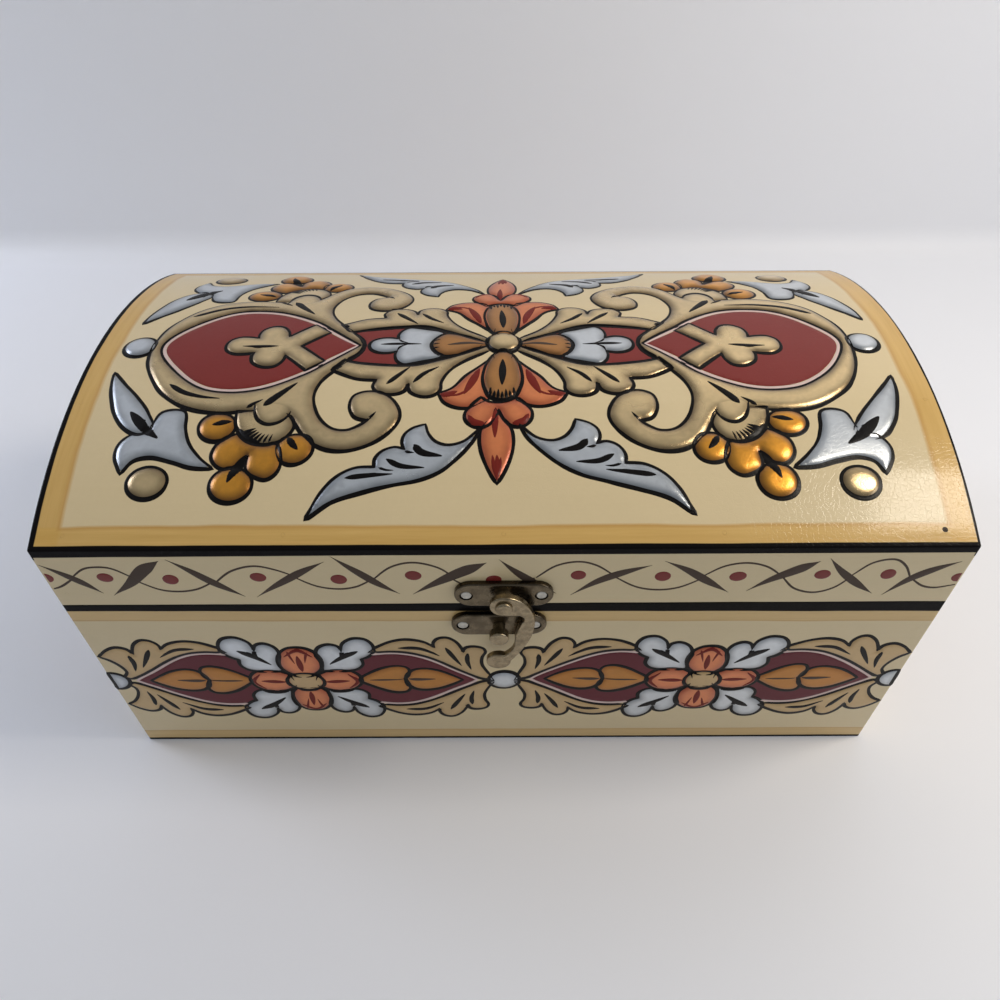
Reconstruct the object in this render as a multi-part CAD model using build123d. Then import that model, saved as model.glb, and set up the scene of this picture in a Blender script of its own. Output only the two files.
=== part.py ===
from build123d import *
import os
from math import sqrt

# A painted wooden keepsake box with a low domed lid, in millimetres. X runs along the length, the
# front faces -Y and Z is up. The origin is the middle of the underside, on the table.

# The wooden carcass
box_length = 300.0
box_depth = 166.0
base_height = 94.0  # table to the middle of the seam
lid_side_height = 28.4  # middle of the seam to the upper edge of the front
dome_rise = 18.4  # upper edge of the front to the crown
wall = 9.0
bottom_thickness = 2.5
skin_thickness = 2.5  # thin sheet bent over the lid
seam_gap = 0.3
edge_easing = 0.8  # sanded outer edges

# Headless brads that hold the glued panels
brad_radius = 0.6
brad_length = 14.0
corner_brad_length = 20.0
brad_fit = 0.05
skin_brad_inset = 10.6  # in from each end of the lid
skin_brads_per_edge = 5
skin_brads_per_end = 2
skin_brad_spread = 60.0  # between the two brads over one end panel
base_brads_per_corner = 3
lid_brads_per_corner = 2
bottom_brads_per_long_wall = 5
bottom_brads_per_end = 2
bottom_brad_inset = 20.0

# Surface hinges on the back
hinge_centre_inset = 62.0  # in from each end of the box
hinge_width = 25.0
hinge_leaf_reach = 10.0  # from the pin's axis to the leaf's far edge
hinge_leaf_thickness = 0.8
hinge_axis_out = 1.9  # pin's axis behind the back face
hinge_pin_radius = 0.7
hinge_pin_fit = 0.05
knuckle_wall = 0.8
knuckle_count = 5
knuckle_gap = 0.15
knuckle_clearance = 0.3  # between a knuckle and the opposite leaf
hinge_nail_spacing = 16.0
hinge_nail_shank = 0.55
hinge_nail_length = 7.0
hinge_nail_head = 1.3
hinge_nail_head_height = 0.4
leaf_corner = 1.0

# Cast swing latch on the front; depths are measured out from the front face
latch_plate_length = 33.0
latch_plate_height = 11.5
latch_plate_thickness = 2.0
latch_plate_rounding = 0.7
lid_plate_up = 6.8  # plate's centre above the seam
base_plate_down = 10.0  # plate's centre below the seam
base_plate_shift = -1.7
latch_nail_spacing = 25.0
latch_nail_shank = 0.8
latch_nail_length = 8.0
latch_nail_head = 1.9
latch_nail_head_height = 1.0
nail_head_easing = 0.45  # rounding of a nail's head, as a share of the head's height
nail_recess_margin = 0.35
nail_recess_sink = 0.1  # head below the plate's face
nail_fit = 0.05
collar_radius = 3.2  # spacer on the lid's plate that holds the hook off it
collar_height = 2.4
hook_gap = 0.3  # collar to hook
hook_thickness = 2.2
hook_eye_radius = 4.75
hook_rounding = 0.6
rivet_radius = 1.3
rivet_fit = 0.05
rivet_head_radius = 2.85
rivet_head_height = 1.2
rivet_head_rounding = 0.8
rivet_play = 0.1  # hook's face to the rivet's head
tail_radius = 2.0
tail_depth = 0.6
tip_radius = 4.3  # round end of the hook
tip_place = (-1.9, -32.3)  # from the rivet's axis
post_shank_radius = 2.2
post_shank_out = 5.0
post_head_radius = 3.3
post_head_rounding = 0.7
post_depth = 8.2

# The hook's edges, from the rivet's axis: tangent arcs that end inside its round tip
hook_back_edge = [(6.6, 1.6), (10.4, -9.4), (8.2, -20.6), (0.8, -34.4)]
hook_mouth_edge = [(6.5, -8.4), (4.5, -13.9), (3.7, -21.0), (-1.4, -29.6)]
hook_mouth_flat = 4.2  # straight stretch under the eye

# Places that follow from the sizes above
half_length = box_length / 2
half_depth = box_depth / 2
base_top = base_height - seam_gap / 2
lid_bottom = base_height + seam_gap / 2
lid_edge = base_height + lid_side_height
dome_radius = (half_depth ** 2 + dome_rise ** 2) / (2 * dome_rise)
dome_centre = lid_edge + dome_rise - dome_radius
crown = lid_edge + dome_rise
end_half_depth = half_depth - wall
corner_brad_x = half_length - wall / 2
wall_brad_y = half_depth - wall / 2
hinge_axis_y = half_depth + hinge_axis_out
knuckle_radius = hinge_pin_radius + hinge_pin_fit + knuckle_wall
leaf_edge = knuckle_radius + knuckle_clearance
lid_plate_z = base_height + lid_plate_up
base_plate_z = base_height - base_plate_down
collar_face = latch_plate_thickness + collar_height
hook_inside = collar_face + hook_gap
hook_face = hook_inside + hook_thickness

upright = (Align.CENTER, Align.CENTER, Align.MIN)
front_plane = Plane(origin=(0, -half_depth, 0), x_dir=(1, 0, 0), z_dir=(0, -1, 0))
back_plane = Plane(origin=(0, half_depth, 0), x_dir=(-1, 0, 0), z_dir=(0, 1, 0))


def block(x_range, y_range, z_range):
    spans = [high - low for low, high in (x_range, y_range, z_range)]
    middle = [(low + high) / 2 for low, high in (x_range, y_range, z_range)]
    return Pos(*middle) * Box(*spans)


def eased(solid, y_sign):
    # Rounds the upright outer edges of a front or back wall, on the side that faces out.
    def outside(edge):
        place = edge.center()
        across = abs(place.Y - y_sign * half_depth) < edge_easing / 2
        on_end = abs(abs(place.X) - half_length) < edge_easing / 2
        return across and on_end
    return fillet(solid.edges().filter_by(Axis.Z).filter_by(outside), edge_easing)


def spread(count, width):
    # Evenly spaced places from one end of a width to the other, about zero.
    if count == 1:
        return [0.0]
    return [-width / 2 + width * i / (count - 1) for i in range(count)]


def dome_height(y, radius):
    return dome_centre + sqrt(radius ** 2 - y ** 2)


def dome_cylinder(radius):
    return Pos(0, 0, dome_centre) * Rot(0, 90, 0) * Cylinder(radius, box_length + 2 * wall)


def round_bar(plane, place, start, end, radius):
    # A round bar square to a plane, between two depths out from it.
    x, z = place
    return plane * Pos(x, z, start) * Cylinder(radius, end - start, align=upright)


def headed_nail(plane, place, seat, shank, length, head, head_height):
    # A nail whose head sits on the given depth and whose shank runs inwards from there.
    top = round_bar(plane, place, seat, seat + head_height, head)
    rim = top.edges().sort_by(Axis(plane.origin, plane.z_dir))[-1]
    top = fillet(rim, head_height * nail_head_easing)
    return top + round_bar(plane, place, seat - length, seat, shank)


def keep(name, shape):
    shape.label = name
    export_step(shape, f"parts/{name}.step")


def keep_group(name, solids):
    keep(name, Compound(label=name, children=solids))


os.makedirs("parts", exist_ok=True)

# Where the brads go
lid_walls_top = dome_height(half_depth, dome_radius - skin_thickness)


def corner_brads(bottom, top, count, grow=0.0):
    # Brads through the front and back walls into the ends, at the four corners.
    brads = []
    margin = (top - bottom) / (2 * count)
    for plane in (front_plane, back_plane):
        for x in (-corner_brad_x, corner_brad_x):
            for z in spread(count, top - bottom - 2 * margin):
                place = (x, (top + bottom) / 2 + z)
                brads.append(round_bar(plane, place, -corner_brad_length, 0, brad_radius + grow))
    return brads


def bottom_brads(grow=0.0):
    # Brads up through the bottom sheet into the four walls.
    places = []
    for x in spread(bottom_brads_per_long_wall, box_length - 2 * bottom_brad_inset):
        places += [(x, -wall_brad_y), (x, wall_brad_y)]
    for y in spread(bottom_brads_per_end, end_half_depth):
        places += [(-corner_brad_x, y), (corner_brad_x, y)]
    return [Pos(x, y, 0) * Cylinder(brad_radius + grow, brad_length, align=upright) for x, y in places]


def skin_brads(grow=0.0):
    # Brads down through the bent sheet into the walls of the lid, trimmed to its surface.
    places = []
    for x in spread(skin_brads_per_edge, box_length - 2 * skin_brad_inset):
        places += [(x, -wall_brad_y), (x, wall_brad_y)]
    for y in spread(skin_brads_per_end, skin_brad_spread):
        places += [(-corner_brad_x, y), (corner_brad_x, y)]
    brads = []
    for x, y in places:
        foot = dome_height(y, dome_radius) - brad_length
        bar = Pos(x, y, foot) * Cylinder(brad_radius + grow, brad_length + wall, align=upright)
        brads.append((bar & dome_cylinder(dome_radius)).solid())
    return brads


# Nails of the metal fittings
hinge_centre_x = half_length - hinge_centre_inset
leaf_nail_z = (hinge_leaf_reach + leaf_edge) / 2
lid_nail_places = [(x, lid_plate_z) for x in spread(2, latch_nail_spacing)]
base_nail_places = [(base_plate_shift + x, base_plate_z) for x in spread(2, latch_nail_spacing)]
latch_nail_seat = latch_plate_thickness - nail_recess_sink - latch_nail_head_height


def hinge_nail_places(side):
    centres = (-hinge_centre_x, hinge_centre_x)
    z = base_height + side * leaf_nail_z
    return [(centre + x, z) for centre in centres for x in spread(2, hinge_nail_spacing)]


def latch_nail_holes(places):
    foot = latch_nail_seat - latch_nail_length
    return [round_bar(front_plane, place, foot, 0, latch_nail_shank + nail_fit)
            for place in places]


def hinge_nail_holes(side):
    foot = hinge_leaf_thickness - hinge_nail_length
    return [round_bar(back_plane, place, foot, 0, hinge_nail_shank + nail_fit)
            for place in hinge_nail_places(side)]


# The base: four walls on a full-size bottom sheet
base_holes = bottom_brads(brad_fit)
base_holes += corner_brads(bottom_thickness, base_top, base_brads_per_corner, brad_fit)
wall_span = (bottom_thickness, base_top)
long_span = (-half_length, half_length)
end_span = (-end_half_depth, end_half_depth)

base_front = eased(block(long_span, (-half_depth, -end_half_depth), wall_span), -1)
base_back = eased(block(long_span, (end_half_depth, half_depth), wall_span), 1)
keep("base_front_panel", base_front - (base_holes + latch_nail_holes(base_nail_places)))
keep("base_back_panel", base_back - (base_holes + hinge_nail_holes(-1)))
for name, sign in (("base_left_end", -1), ("base_right_end", 1)):
    x_span = sorted((sign * (half_length - wall), sign * half_length))
    keep(name, block(x_span, end_span, wall_span) - base_holes)

bottom_sheet = block(long_span, (-half_depth, half_depth), (0, bottom_thickness))
bottom_sheet = fillet(bottom_sheet.edges().filter_by(Axis.Z), edge_easing)
keep("base_bottom_panel", bottom_sheet - base_holes)
keep_group("base_bottom_brads", bottom_brads())
keep_group("base_wall_brads", corner_brads(bottom_thickness, base_top, base_brads_per_corner))

# The lid: four walls cut to the curve, under one bent sheet
lid_holes = skin_brads(brad_fit)
lid_holes += corner_brads(lid_bottom, lid_walls_top, lid_brads_per_corner, brad_fit)
under_skin = dome_cylinder(dome_radius - skin_thickness)
lid_span = (lid_bottom, crown)

lid_front = eased(block(long_span, (-half_depth, -end_half_depth), lid_span), -1)
lid_back = eased(block(long_span, (end_half_depth, half_depth), lid_span), 1)
keep("lid_front_rail", (lid_front & under_skin) - (lid_holes + latch_nail_holes(lid_nail_places)))
keep("lid_back_rail", (lid_back & under_skin) - (lid_holes + hinge_nail_holes(1)))
for name, sign in (("lid_left_end", -1), ("lid_right_end", 1)):
    x_span = sorted((sign * (half_length - wall), sign * half_length))
    keep(name, (block(x_span, end_span, lid_span) & under_skin) - lid_holes)

lid_block = block(long_span, (-half_depth, half_depth), (lid_bottom, crown + wall))
lid_block = fillet(lid_block.edges().filter_by(Axis.Z), edge_easing)
skin = (lid_block & dome_cylinder(dome_radius)) - under_skin


def on_dome(edge):
    place = edge.position_at(0.5)
    reach = sqrt(place.Y ** 2 + (place.Z - dome_centre) ** 2)
    return place.Z > lid_edge - skin_thickness / 2 and abs(reach - dome_radius) < edge_easing / 4


skin = fillet(skin.edges().filter_by(on_dome), edge_easing)
keep("lid_top_skin", skin - lid_holes)
keep_group("lid_skin_brads", skin_brads())
keep_group("lid_wall_brads", corner_brads(lid_bottom, lid_walls_top, lid_brads_per_corner))

# Two hinges, each a pair of rolled leaves on one pin
knuckle_length = (hinge_width - (knuckle_count - 1) * knuckle_gap) / knuckle_count


def hinge_leaf(centre, side):
    # side is 1 for the lid's leaf and -1 for the base's.
    near = base_height + side * leaf_edge
    far = base_height + side * hinge_leaf_reach
    y_span = (half_depth, half_depth + hinge_leaf_thickness)
    leaf = block((centre - hinge_width / 2, centre + hinge_width / 2), y_span, sorted((near, far)))
    tips = leaf.edges().filter_by(Axis.Y).sort_by(Axis.Z)
    leaf = fillet(tips[-2:] if side > 0 else tips[:2], leaf_corner)
    for i in range(knuckle_count):
        if (i % 2 == 0) != (side < 0):
            continue
        start = centre - hinge_width / 2 + i * (knuckle_length + knuckle_gap)
        roll = Pos(start, hinge_axis_y, base_height) * Rot(0, 90, 0) * Cylinder(
            knuckle_radius, knuckle_length, align=upright)
        leaf += roll
        leaf += block((start, start + knuckle_length), y_span, sorted((base_height, near)))
    bore = Pos(centre, hinge_axis_y, base_height) * Rot(0, 90, 0) * Cylinder(
        hinge_pin_radius + hinge_pin_fit, hinge_width + wall)
    nail_ways = [round_bar(back_plane, (-x, z), -wall, wall, hinge_nail_shank + nail_fit)
                 for x, z in hinge_nail_places(side)]
    return (leaf - bore - nail_ways).solid()


for word, centre in (("left", -hinge_centre_x), ("right", hinge_centre_x)):
    keep(f"{word}_hinge_base_leaf", hinge_leaf(centre, -1))
    keep(f"{word}_hinge_lid_leaf", hinge_leaf(centre, 1))
    pin = Pos(centre, hinge_axis_y, base_height) * Rot(0, 90, 0) * Cylinder(hinge_pin_radius, hinge_width)
    keep(f"{word}_hinge_pin", pin)

for name, side in (("hinge_base_nails", -1), ("hinge_lid_nails", 1)):
    keep_group(name, [headed_nail(back_plane, place, hinge_leaf_thickness, hinge_nail_shank,
                                  hinge_nail_length, hinge_nail_head, hinge_nail_head_height)
                      for place in hinge_nail_places(side)])


# The swing latch
def latch_plate(centre_x, centre_z, nail_places, rivet_place):
    sketch = front_plane * Pos(centre_x, centre_z) * SlotOverall(latch_plate_length, latch_plate_height)
    plate = extrude(sketch, amount=latch_plate_thickness)
    rim = plate.faces().sort_by(Axis.Y)[0].edges()
    plate = fillet(rim, latch_plate_rounding)
    for place in nail_places:
        plate -= round_bar(front_plane, place, latch_nail_seat, latch_plate_thickness,
                           latch_nail_head + nail_recess_margin)
        plate -= round_bar(front_plane, place, 0, latch_plate_thickness, latch_nail_shank + nail_fit)
    plate -= round_bar(front_plane, rivet_place, 0, latch_plate_thickness, rivet_radius + nail_fit)
    plate -= round_bar(front_plane, rivet_place, 0, tail_depth + nail_fit, tail_radius + nail_fit)
    return plate


def tangent_arcs(points, direction):
    # A smooth run of arcs through the points, leaving the first in the given direction.
    arcs = []
    for start, end in zip(points, points[1:]):
        arcs.append(TangentArc(start, end, tangent=direction))
        direction = arcs[-1] % 1
    return arcs


pivot = (0, lid_plate_z)
post_place = (base_plate_shift, base_plate_z)
keep("latch_lid_plate", latch_plate(0, lid_plate_z, lid_nail_places, pivot))
keep("latch_base_plate", latch_plate(base_plate_shift, base_plate_z, base_nail_places, post_place))

rivet_seat = hook_face + rivet_play
rivet_head = round_bar(front_plane, pivot, rivet_seat, rivet_seat + rivet_head_height, rivet_head_radius)
rivet_head = fillet(rivet_head.edges().sort_by(Axis.Y)[0], rivet_head_rounding)
rivet = rivet_head + round_bar(front_plane, pivot, 0, rivet_seat, rivet_radius)
rivet += round_bar(front_plane, pivot, latch_plate_thickness, collar_face, collar_radius)
rivet += round_bar(front_plane, pivot, 0, tail_depth, tail_radius)
keep("latch_pivot_rivet", rivet)

post_head = round_bar(front_plane, post_place, post_shank_out, post_depth, post_head_radius)
post_head = fillet(post_head.edges().sort_by(Axis.Y)[0], post_head_rounding)
post = post_head + round_bar(front_plane, post_place, 0, latch_plate_thickness, rivet_radius)
post += round_bar(front_plane, post_place, latch_plate_thickness, post_shank_out, post_shank_radius)
post += round_bar(front_plane, post_place, 0, tail_depth, tail_radius)
keep("latch_post", post)

eye_top = (0.0, hook_eye_radius)
eye_bottom = (0.0, -hook_eye_radius)
mouth_start = (hook_mouth_flat, -hook_eye_radius)
back_edge = tangent_arcs([eye_top] + hook_back_edge, (1.0, 0.0))
mouth_edge = [Line(eye_bottom, mouth_start)] + tangent_arcs([mouth_start] + hook_mouth_edge, (1.0, 0.0))
foot_line = Line(hook_back_edge[-1], hook_mouth_edge[-1])
eye_arc = ThreePointArc(eye_bottom, (-hook_eye_radius, 0.0), eye_top)
outline = make_face(Wire(back_edge + [foot_line] + mouth_edge + [eye_arc]))
tip = Pos(*tip_place) * Circle(tip_radius)
hook_shape = extrude(front_plane * Pos(0, lid_plate_z, hook_inside) * (outline + tip), amount=hook_thickness)
hook_shape = fillet(hook_shape.faces().sort_by(Axis.Y)[0].edges(), hook_rounding)
hook_shape -= round_bar(front_plane, pivot, 0, post_depth, rivet_radius + rivet_fit)
keep("latch_hook", hook_shape.solid())

for name, places in (("latch_lid_nails", lid_nail_places), ("latch_base_nails", base_nail_places)):
    keep_group(name, [headed_nail(front_plane, place, latch_nail_seat, latch_nail_shank, latch_nail_length,
                                  latch_nail_head, latch_nail_head_height)
                      for place in places])
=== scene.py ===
from math import cos, hypot, pi, radians, sin

import bpy
import numpy as np
from mathutils import Matrix, Vector
from mathutils.geometry import delaunay_2d_cdt


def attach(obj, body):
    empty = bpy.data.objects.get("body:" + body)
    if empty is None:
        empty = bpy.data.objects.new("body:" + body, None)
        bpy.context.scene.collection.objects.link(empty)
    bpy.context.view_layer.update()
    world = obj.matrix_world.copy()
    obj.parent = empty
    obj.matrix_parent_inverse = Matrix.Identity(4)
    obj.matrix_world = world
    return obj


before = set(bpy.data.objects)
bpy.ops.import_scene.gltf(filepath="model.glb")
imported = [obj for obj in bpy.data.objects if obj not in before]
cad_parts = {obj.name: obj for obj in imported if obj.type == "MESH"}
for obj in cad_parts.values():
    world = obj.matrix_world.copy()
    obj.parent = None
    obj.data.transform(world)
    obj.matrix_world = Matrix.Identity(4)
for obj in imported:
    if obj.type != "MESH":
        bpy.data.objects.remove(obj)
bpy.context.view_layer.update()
print("frame loaded")

# The box's own sizes, in millimetres, as the solids have them
box = dict(
    halfLength=150.0,
    halfDepth=83.0,
    seam=94.0,
    domeRadius=196.4,
    domeCentre=-55.6,
    skin=2.5,
    wall=9.0,
    halfArc=85.7,  # crown line to the lid's front edge, along the curve
)
mm = 0.001


def colour(code):
    # A colour written as six hexadecimal digits, as the shader wants it.
    parts = [int(code[i:i + 2], 16) / 255 for i in (0, 2, 4)]
    linear = [c / 12.92 if c <= 0.04045 else ((c + 0.055) / 1.055) ** 2.4 for c in parts]
    return (*linear, 1.0)


class Wire:
    # One output of a shader node. A sum or a comparison with it makes a maths node.
    def __init__(self, node, key=0):
        self.node, self.key = node, key

    def at(self, key):
        # Another output of the same node.
        return Wire(self.node, key)

    def __add__(self, other):
        return maths("ADD", self, other)

    def __sub__(self, other):
        return maths("SUBTRACT", self, other)

    def __rsub__(self, other):
        return maths("SUBTRACT", other, self)

    def __mul__(self, other):
        return maths("MULTIPLY", self, other)

    def __truediv__(self, other):
        return maths("DIVIDE", self, other)

    def __gt__(self, other):
        return maths("GREATER_THAN", self, other)

    def __lt__(self, other):
        return maths("LESS_THAN", self, other)

    def __abs__(self):
        return maths("ABSOLUTE", self)


def fill(node, inputs):
    # Sets the inputs of a node, by wire or by value.
    for key, value in inputs.items():
        if isinstance(value, Wire):
            node.id_data.links.new(value.node.outputs[value.key], node.inputs[key])
        else:
            node.inputs[key].default_value = value


def newNode(kind, inputs, tree=None, **settings):
    # A shader node in the given tree, or in the tree that its wires come from; returns its first output.
    tree = tree or next(value.node.id_data for value in inputs.values() if isinstance(value, Wire))
    node = tree.nodes.new(kind)
    for key, value in settings.items():
        setattr(node, key, value)
    fill(node, inputs)
    return Wire(node)


def maths(operation, *values, **settings):
    return newNode("ShaderNodeMath", dict(enumerate(values)), operation=operation, **settings)


def either(mask, *others):
    for other in others:
        mask = maths("MAXIMUM", mask, other)
    return mask


def mixColour(factor, first, second):
    return newNode("ShaderNodeMix", {0: factor, 6: first, 7: second}, data_type="RGBA").at(2)


def mixValue(factor, first, second):
    return newNode("ShaderNodeMix", {0: factor, 2: first, 3: second}, data_type="FLOAT")


def mapRange(value, low, high, toLow, toHigh):
    return newNode("ShaderNodeMapRange", {0: value, 1: low, 2: high, 3: toLow, 4: toHigh})


def stretched(place, by):
    return newNode("ShaderNodeVectorMath", {0: place, 1: by}, operation="MULTIPLY")


def noise(place, scale, detail, roughness=0.5):
    inputs = {"Vector": place, "Scale": scale, "Detail": detail, "Roughness": roughness}
    return newNode("ShaderNodeTexNoise", inputs)


def voronoi(place, scale, **settings):
    return newNode("ShaderNodeTexVoronoi", {"Vector": place, "Scale": scale, "Randomness": 1.0}, **settings)


def bumpOf(height, strength, distance=0.00012):
    return newNode("ShaderNodeBump", {"Strength": strength, "Distance": distance, "Height": height})


def useGroup(group, **inputs):
    return newNode("ShaderNodeGroup", inputs, node_tree=group)


floatSocket, colourSocket, vectorSocket = "NodeSocketFloat", "NodeSocketColor", "NodeSocketVector"


def newGroup(name, inputs, outputs):
    # A shader group; returns a wire from each of its inputs, and its output node.
    tree = bpy.data.node_groups.new(name, "ShaderNodeTree")
    for way, sockets in (("INPUT", inputs), ("OUTPUT", outputs)):
        for label, kind in sockets.items():
            tree.interface.new_socket(label, in_out=way, socket_type=kind)
    start = tree.nodes.new("NodeGroupInput")
    return [Wire(start, label) for label in inputs], tree.nodes.new("NodeGroupOutput")


def makeBrushwork():
    # Streaks left by a brush drawn along one direction.
    (place, stretch, contrast), end = newGroup(
        "brushwork", dict(Place=vectorSocket, Stretch=vectorSocket, Contrast=floatSocket),
        dict(Streaks=floatSocket, Ridges=floatSocket))
    place = stretched(place, stretch)
    broad = noise(place, 1.0, 3.0, 0.55)
    fine = noise(place, 3.7, 2.0, 0.6)
    fill(end, dict(Streaks=(broad * 0.65 + fine * 0.35 - 0.5) * contrast + 0.5, Ridges=fine))
    return end.id_data


def makePaintedBand():
    # One painted band between two places on a scale, with an edge drawn by hand.
    (place, scale, low, high, waver, soft), end = newGroup(
        "paintedBand", dict(Place=vectorSocket, Scale=floatSocket, Low=floatSocket, High=floatSocket,
                            Waver=floatSocket, Soft=floatSocket), dict(Mask=floatSocket))
    level = scale + (noise(place, 34.0, 2.0) - 0.5) * waver
    inside = maths("MINIMUM", (level - low) / soft, (high - level) / soft)
    fill(end, dict(Mask=maths("ADD", inside, 0.5, use_clamp=True)))
    return end.id_data


def makeVarnish():
    # The skin of a brushed varnish: a faint peel, bristle marks, a few nibs of dust and a fine crackle.
    (place, roughness), end = newGroup(
        "varnish", dict(Place=vectorSocket, Roughness=floatSocket),
        dict(Roughness=floatSocket, Height=floatSocket))
    peel = noise(place, 420.0, 3.0, 0.6)
    bristle = noise(stretched(place, (40.0, 900.0, 700.0)), 1.0, 2.0)
    nib = mapRange(voronoi(place, 260.0), 0.0, 0.16, 1.0, 0.0)
    crack = mapRange(voronoi(place, 640.0, feature="DISTANCE_TO_EDGE"), 0.0, 0.08, 0.0, 0.3)
    smudge = noise(place, 26.0, 4.0, 0.6)
    fill(end, dict(Roughness=roughness * ((smudge - 0.5) * 0.5 + 1.0),
                   Height=peel * 0.5 + bristle * 0.4 + nib * 0.1 + crack))
    return end.id_data


def makeMottle():
    # Uneven tone in a colour: slow patches and a fine speckle.
    (place, tone, amount, size), end = newGroup(
        "mottle", dict(Place=vectorSocket, Colour=colourSocket, Amount=floatSocket, Size=floatSocket),
        dict(Colour=colourSocket))
    both = noise(place, size, 4.0, 0.6) * 0.75 + noise(place, 640.0, 1.0) * 0.25
    shade = newNode("ShaderNodeHueSaturation", {"Value": (both - 0.5) * amount + 1.0, "Color": tone})
    fill(end, dict(Colour=shade))
    return end.id_data


def makeRimTone():
    # Darkens a paint towards the edge of its patch: partly the paint's own darker edge, partly painted shade
    # where the raised patch falls to the wood; the patch's mesh holds the distance as "inset".
    (place, tone, rim, width, strength), end = newGroup(
        "rimShade", dict(Place=vectorSocket, Colour=colourSocket, Rim=colourSocket, Width=floatSocket,
                        Strength=floatSocket), dict(Colour=colourSocket))
    inset = newNode("ShaderNodeAttribute", {}, end.id_data, attribute_name="inset").at("Fac")
    wander = inset + (noise(place, 150.0, 2.0) - 0.5) * 1.6
    near = maths("SUBTRACT", 1.0, wander / width, use_clamp=True)
    fill(end, dict(Colour=mixColour(maths("POWER", near, 1.4) * strength, tone, rim)))
    return end.id_data


brushwork = makeBrushwork()
paintedBand = makePaintedBand()
varnish = makeVarnish()
mottle = makeMottle()
rimShade = makeRimTone()


def newMaterial(name):
    # A material, its main shader and a wire with the object's own coordinates.
    material = bpy.data.materials.new(name)
    material.use_nodes = True
    tree = material.node_tree
    tree.nodes.clear()
    shader = newNode("ShaderNodeBsdfPrincipled", {}, tree)
    newNode("ShaderNodeOutputMaterial", {0: shader})
    return material, shader.node, newNode("ShaderNodeTexCoord", {}, tree).at("Object")


def dress(node, material):
    node.data.materials.clear()
    node.data.materials.append(material)


# Paint on the wood; lengths in millimetres
woodPaint = dict(
    cream=colour("DBC79C"),
    creamStreak=colour("C2A878"),
    ochre=colour("D9AF5E"),
    ochreDeep=colour("C79A45"),
    ochreLine=colour("A96F2C"),
    black=colour("0E0B0A"),
    bareWood=colour("C9A878"),
    bareGrain=colour("A47C4E"),
    creamBrush=(1.6, 14.0, 320.0, 320.0),  # contrast of the brush marks, then how fine they are along x, y, z
    ochreBrush=(2.2, 16.0, 420.0, 420.0),
    ochreEndBrush=(2.2, 420.0, 16.0, 30.0),
    grain=(1.8, 22.0, 260.0, 260.0),
    endGrain=(1.8, 260.0, 22.0, 260.0),
    creamStreaks=0.1,
    creamRoughness=0.42,
    bareRoughness=0.6,
    shine=0.2,
    darkShine=(0.03, 0.3, 0.15, 1.0),  # a dark and a light tone, and how much of the shine each keeps
    coat=0.55,
    coatRoughness=0.12,
    bump=0.35,
    paintDepth=0.9,  # how deep below the walls' outer faces the paint still shows
    edgeDepth=0.4,
    sheetDepth=0.3,
    seamBlackAbove=0.3,  # black stroke on the lid above the seam
    seamUnder=0.2,  # everything on the lid below this height above the seam is black
    lidBlackFrom=119.7,
    archRim=1.6,  # black rim of the lid's arched ends
    baseBand=(1.4, 7.6, 83.9, 89.65),
    lidEndBand=(140.8, 148.43),
    lidFrontBand=(1.6, 8.0),  # from the lid's front edge, along the curve
    baseHand=(0.9, 0.5),  # how far the edge of a band wavers, and how soft it is
    lidEndHand=(2.2, 1.4),
    lidFrontHand=(1.6, 0.9),
    lidLean=-0.0032,  # how far each painted edge leans along the box
    lipLean=-0.004,
    seamLean=0.0068,
    lidCover=0.86,  # how well the ochre covers the cream
    baseCover=0.6,
    lidRule=0.3,  # strength of the darker line along a band's inner edge
    baseRule=0.28,
    baseRuleWidth=0.7,
    bareBrad=(0.1394, -0.0778, 0.1247),  # the one brad whose paint has worn off, in metres
    bradRadius=0.0009,
    bradTone=colour("3A3027"),
)


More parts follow.
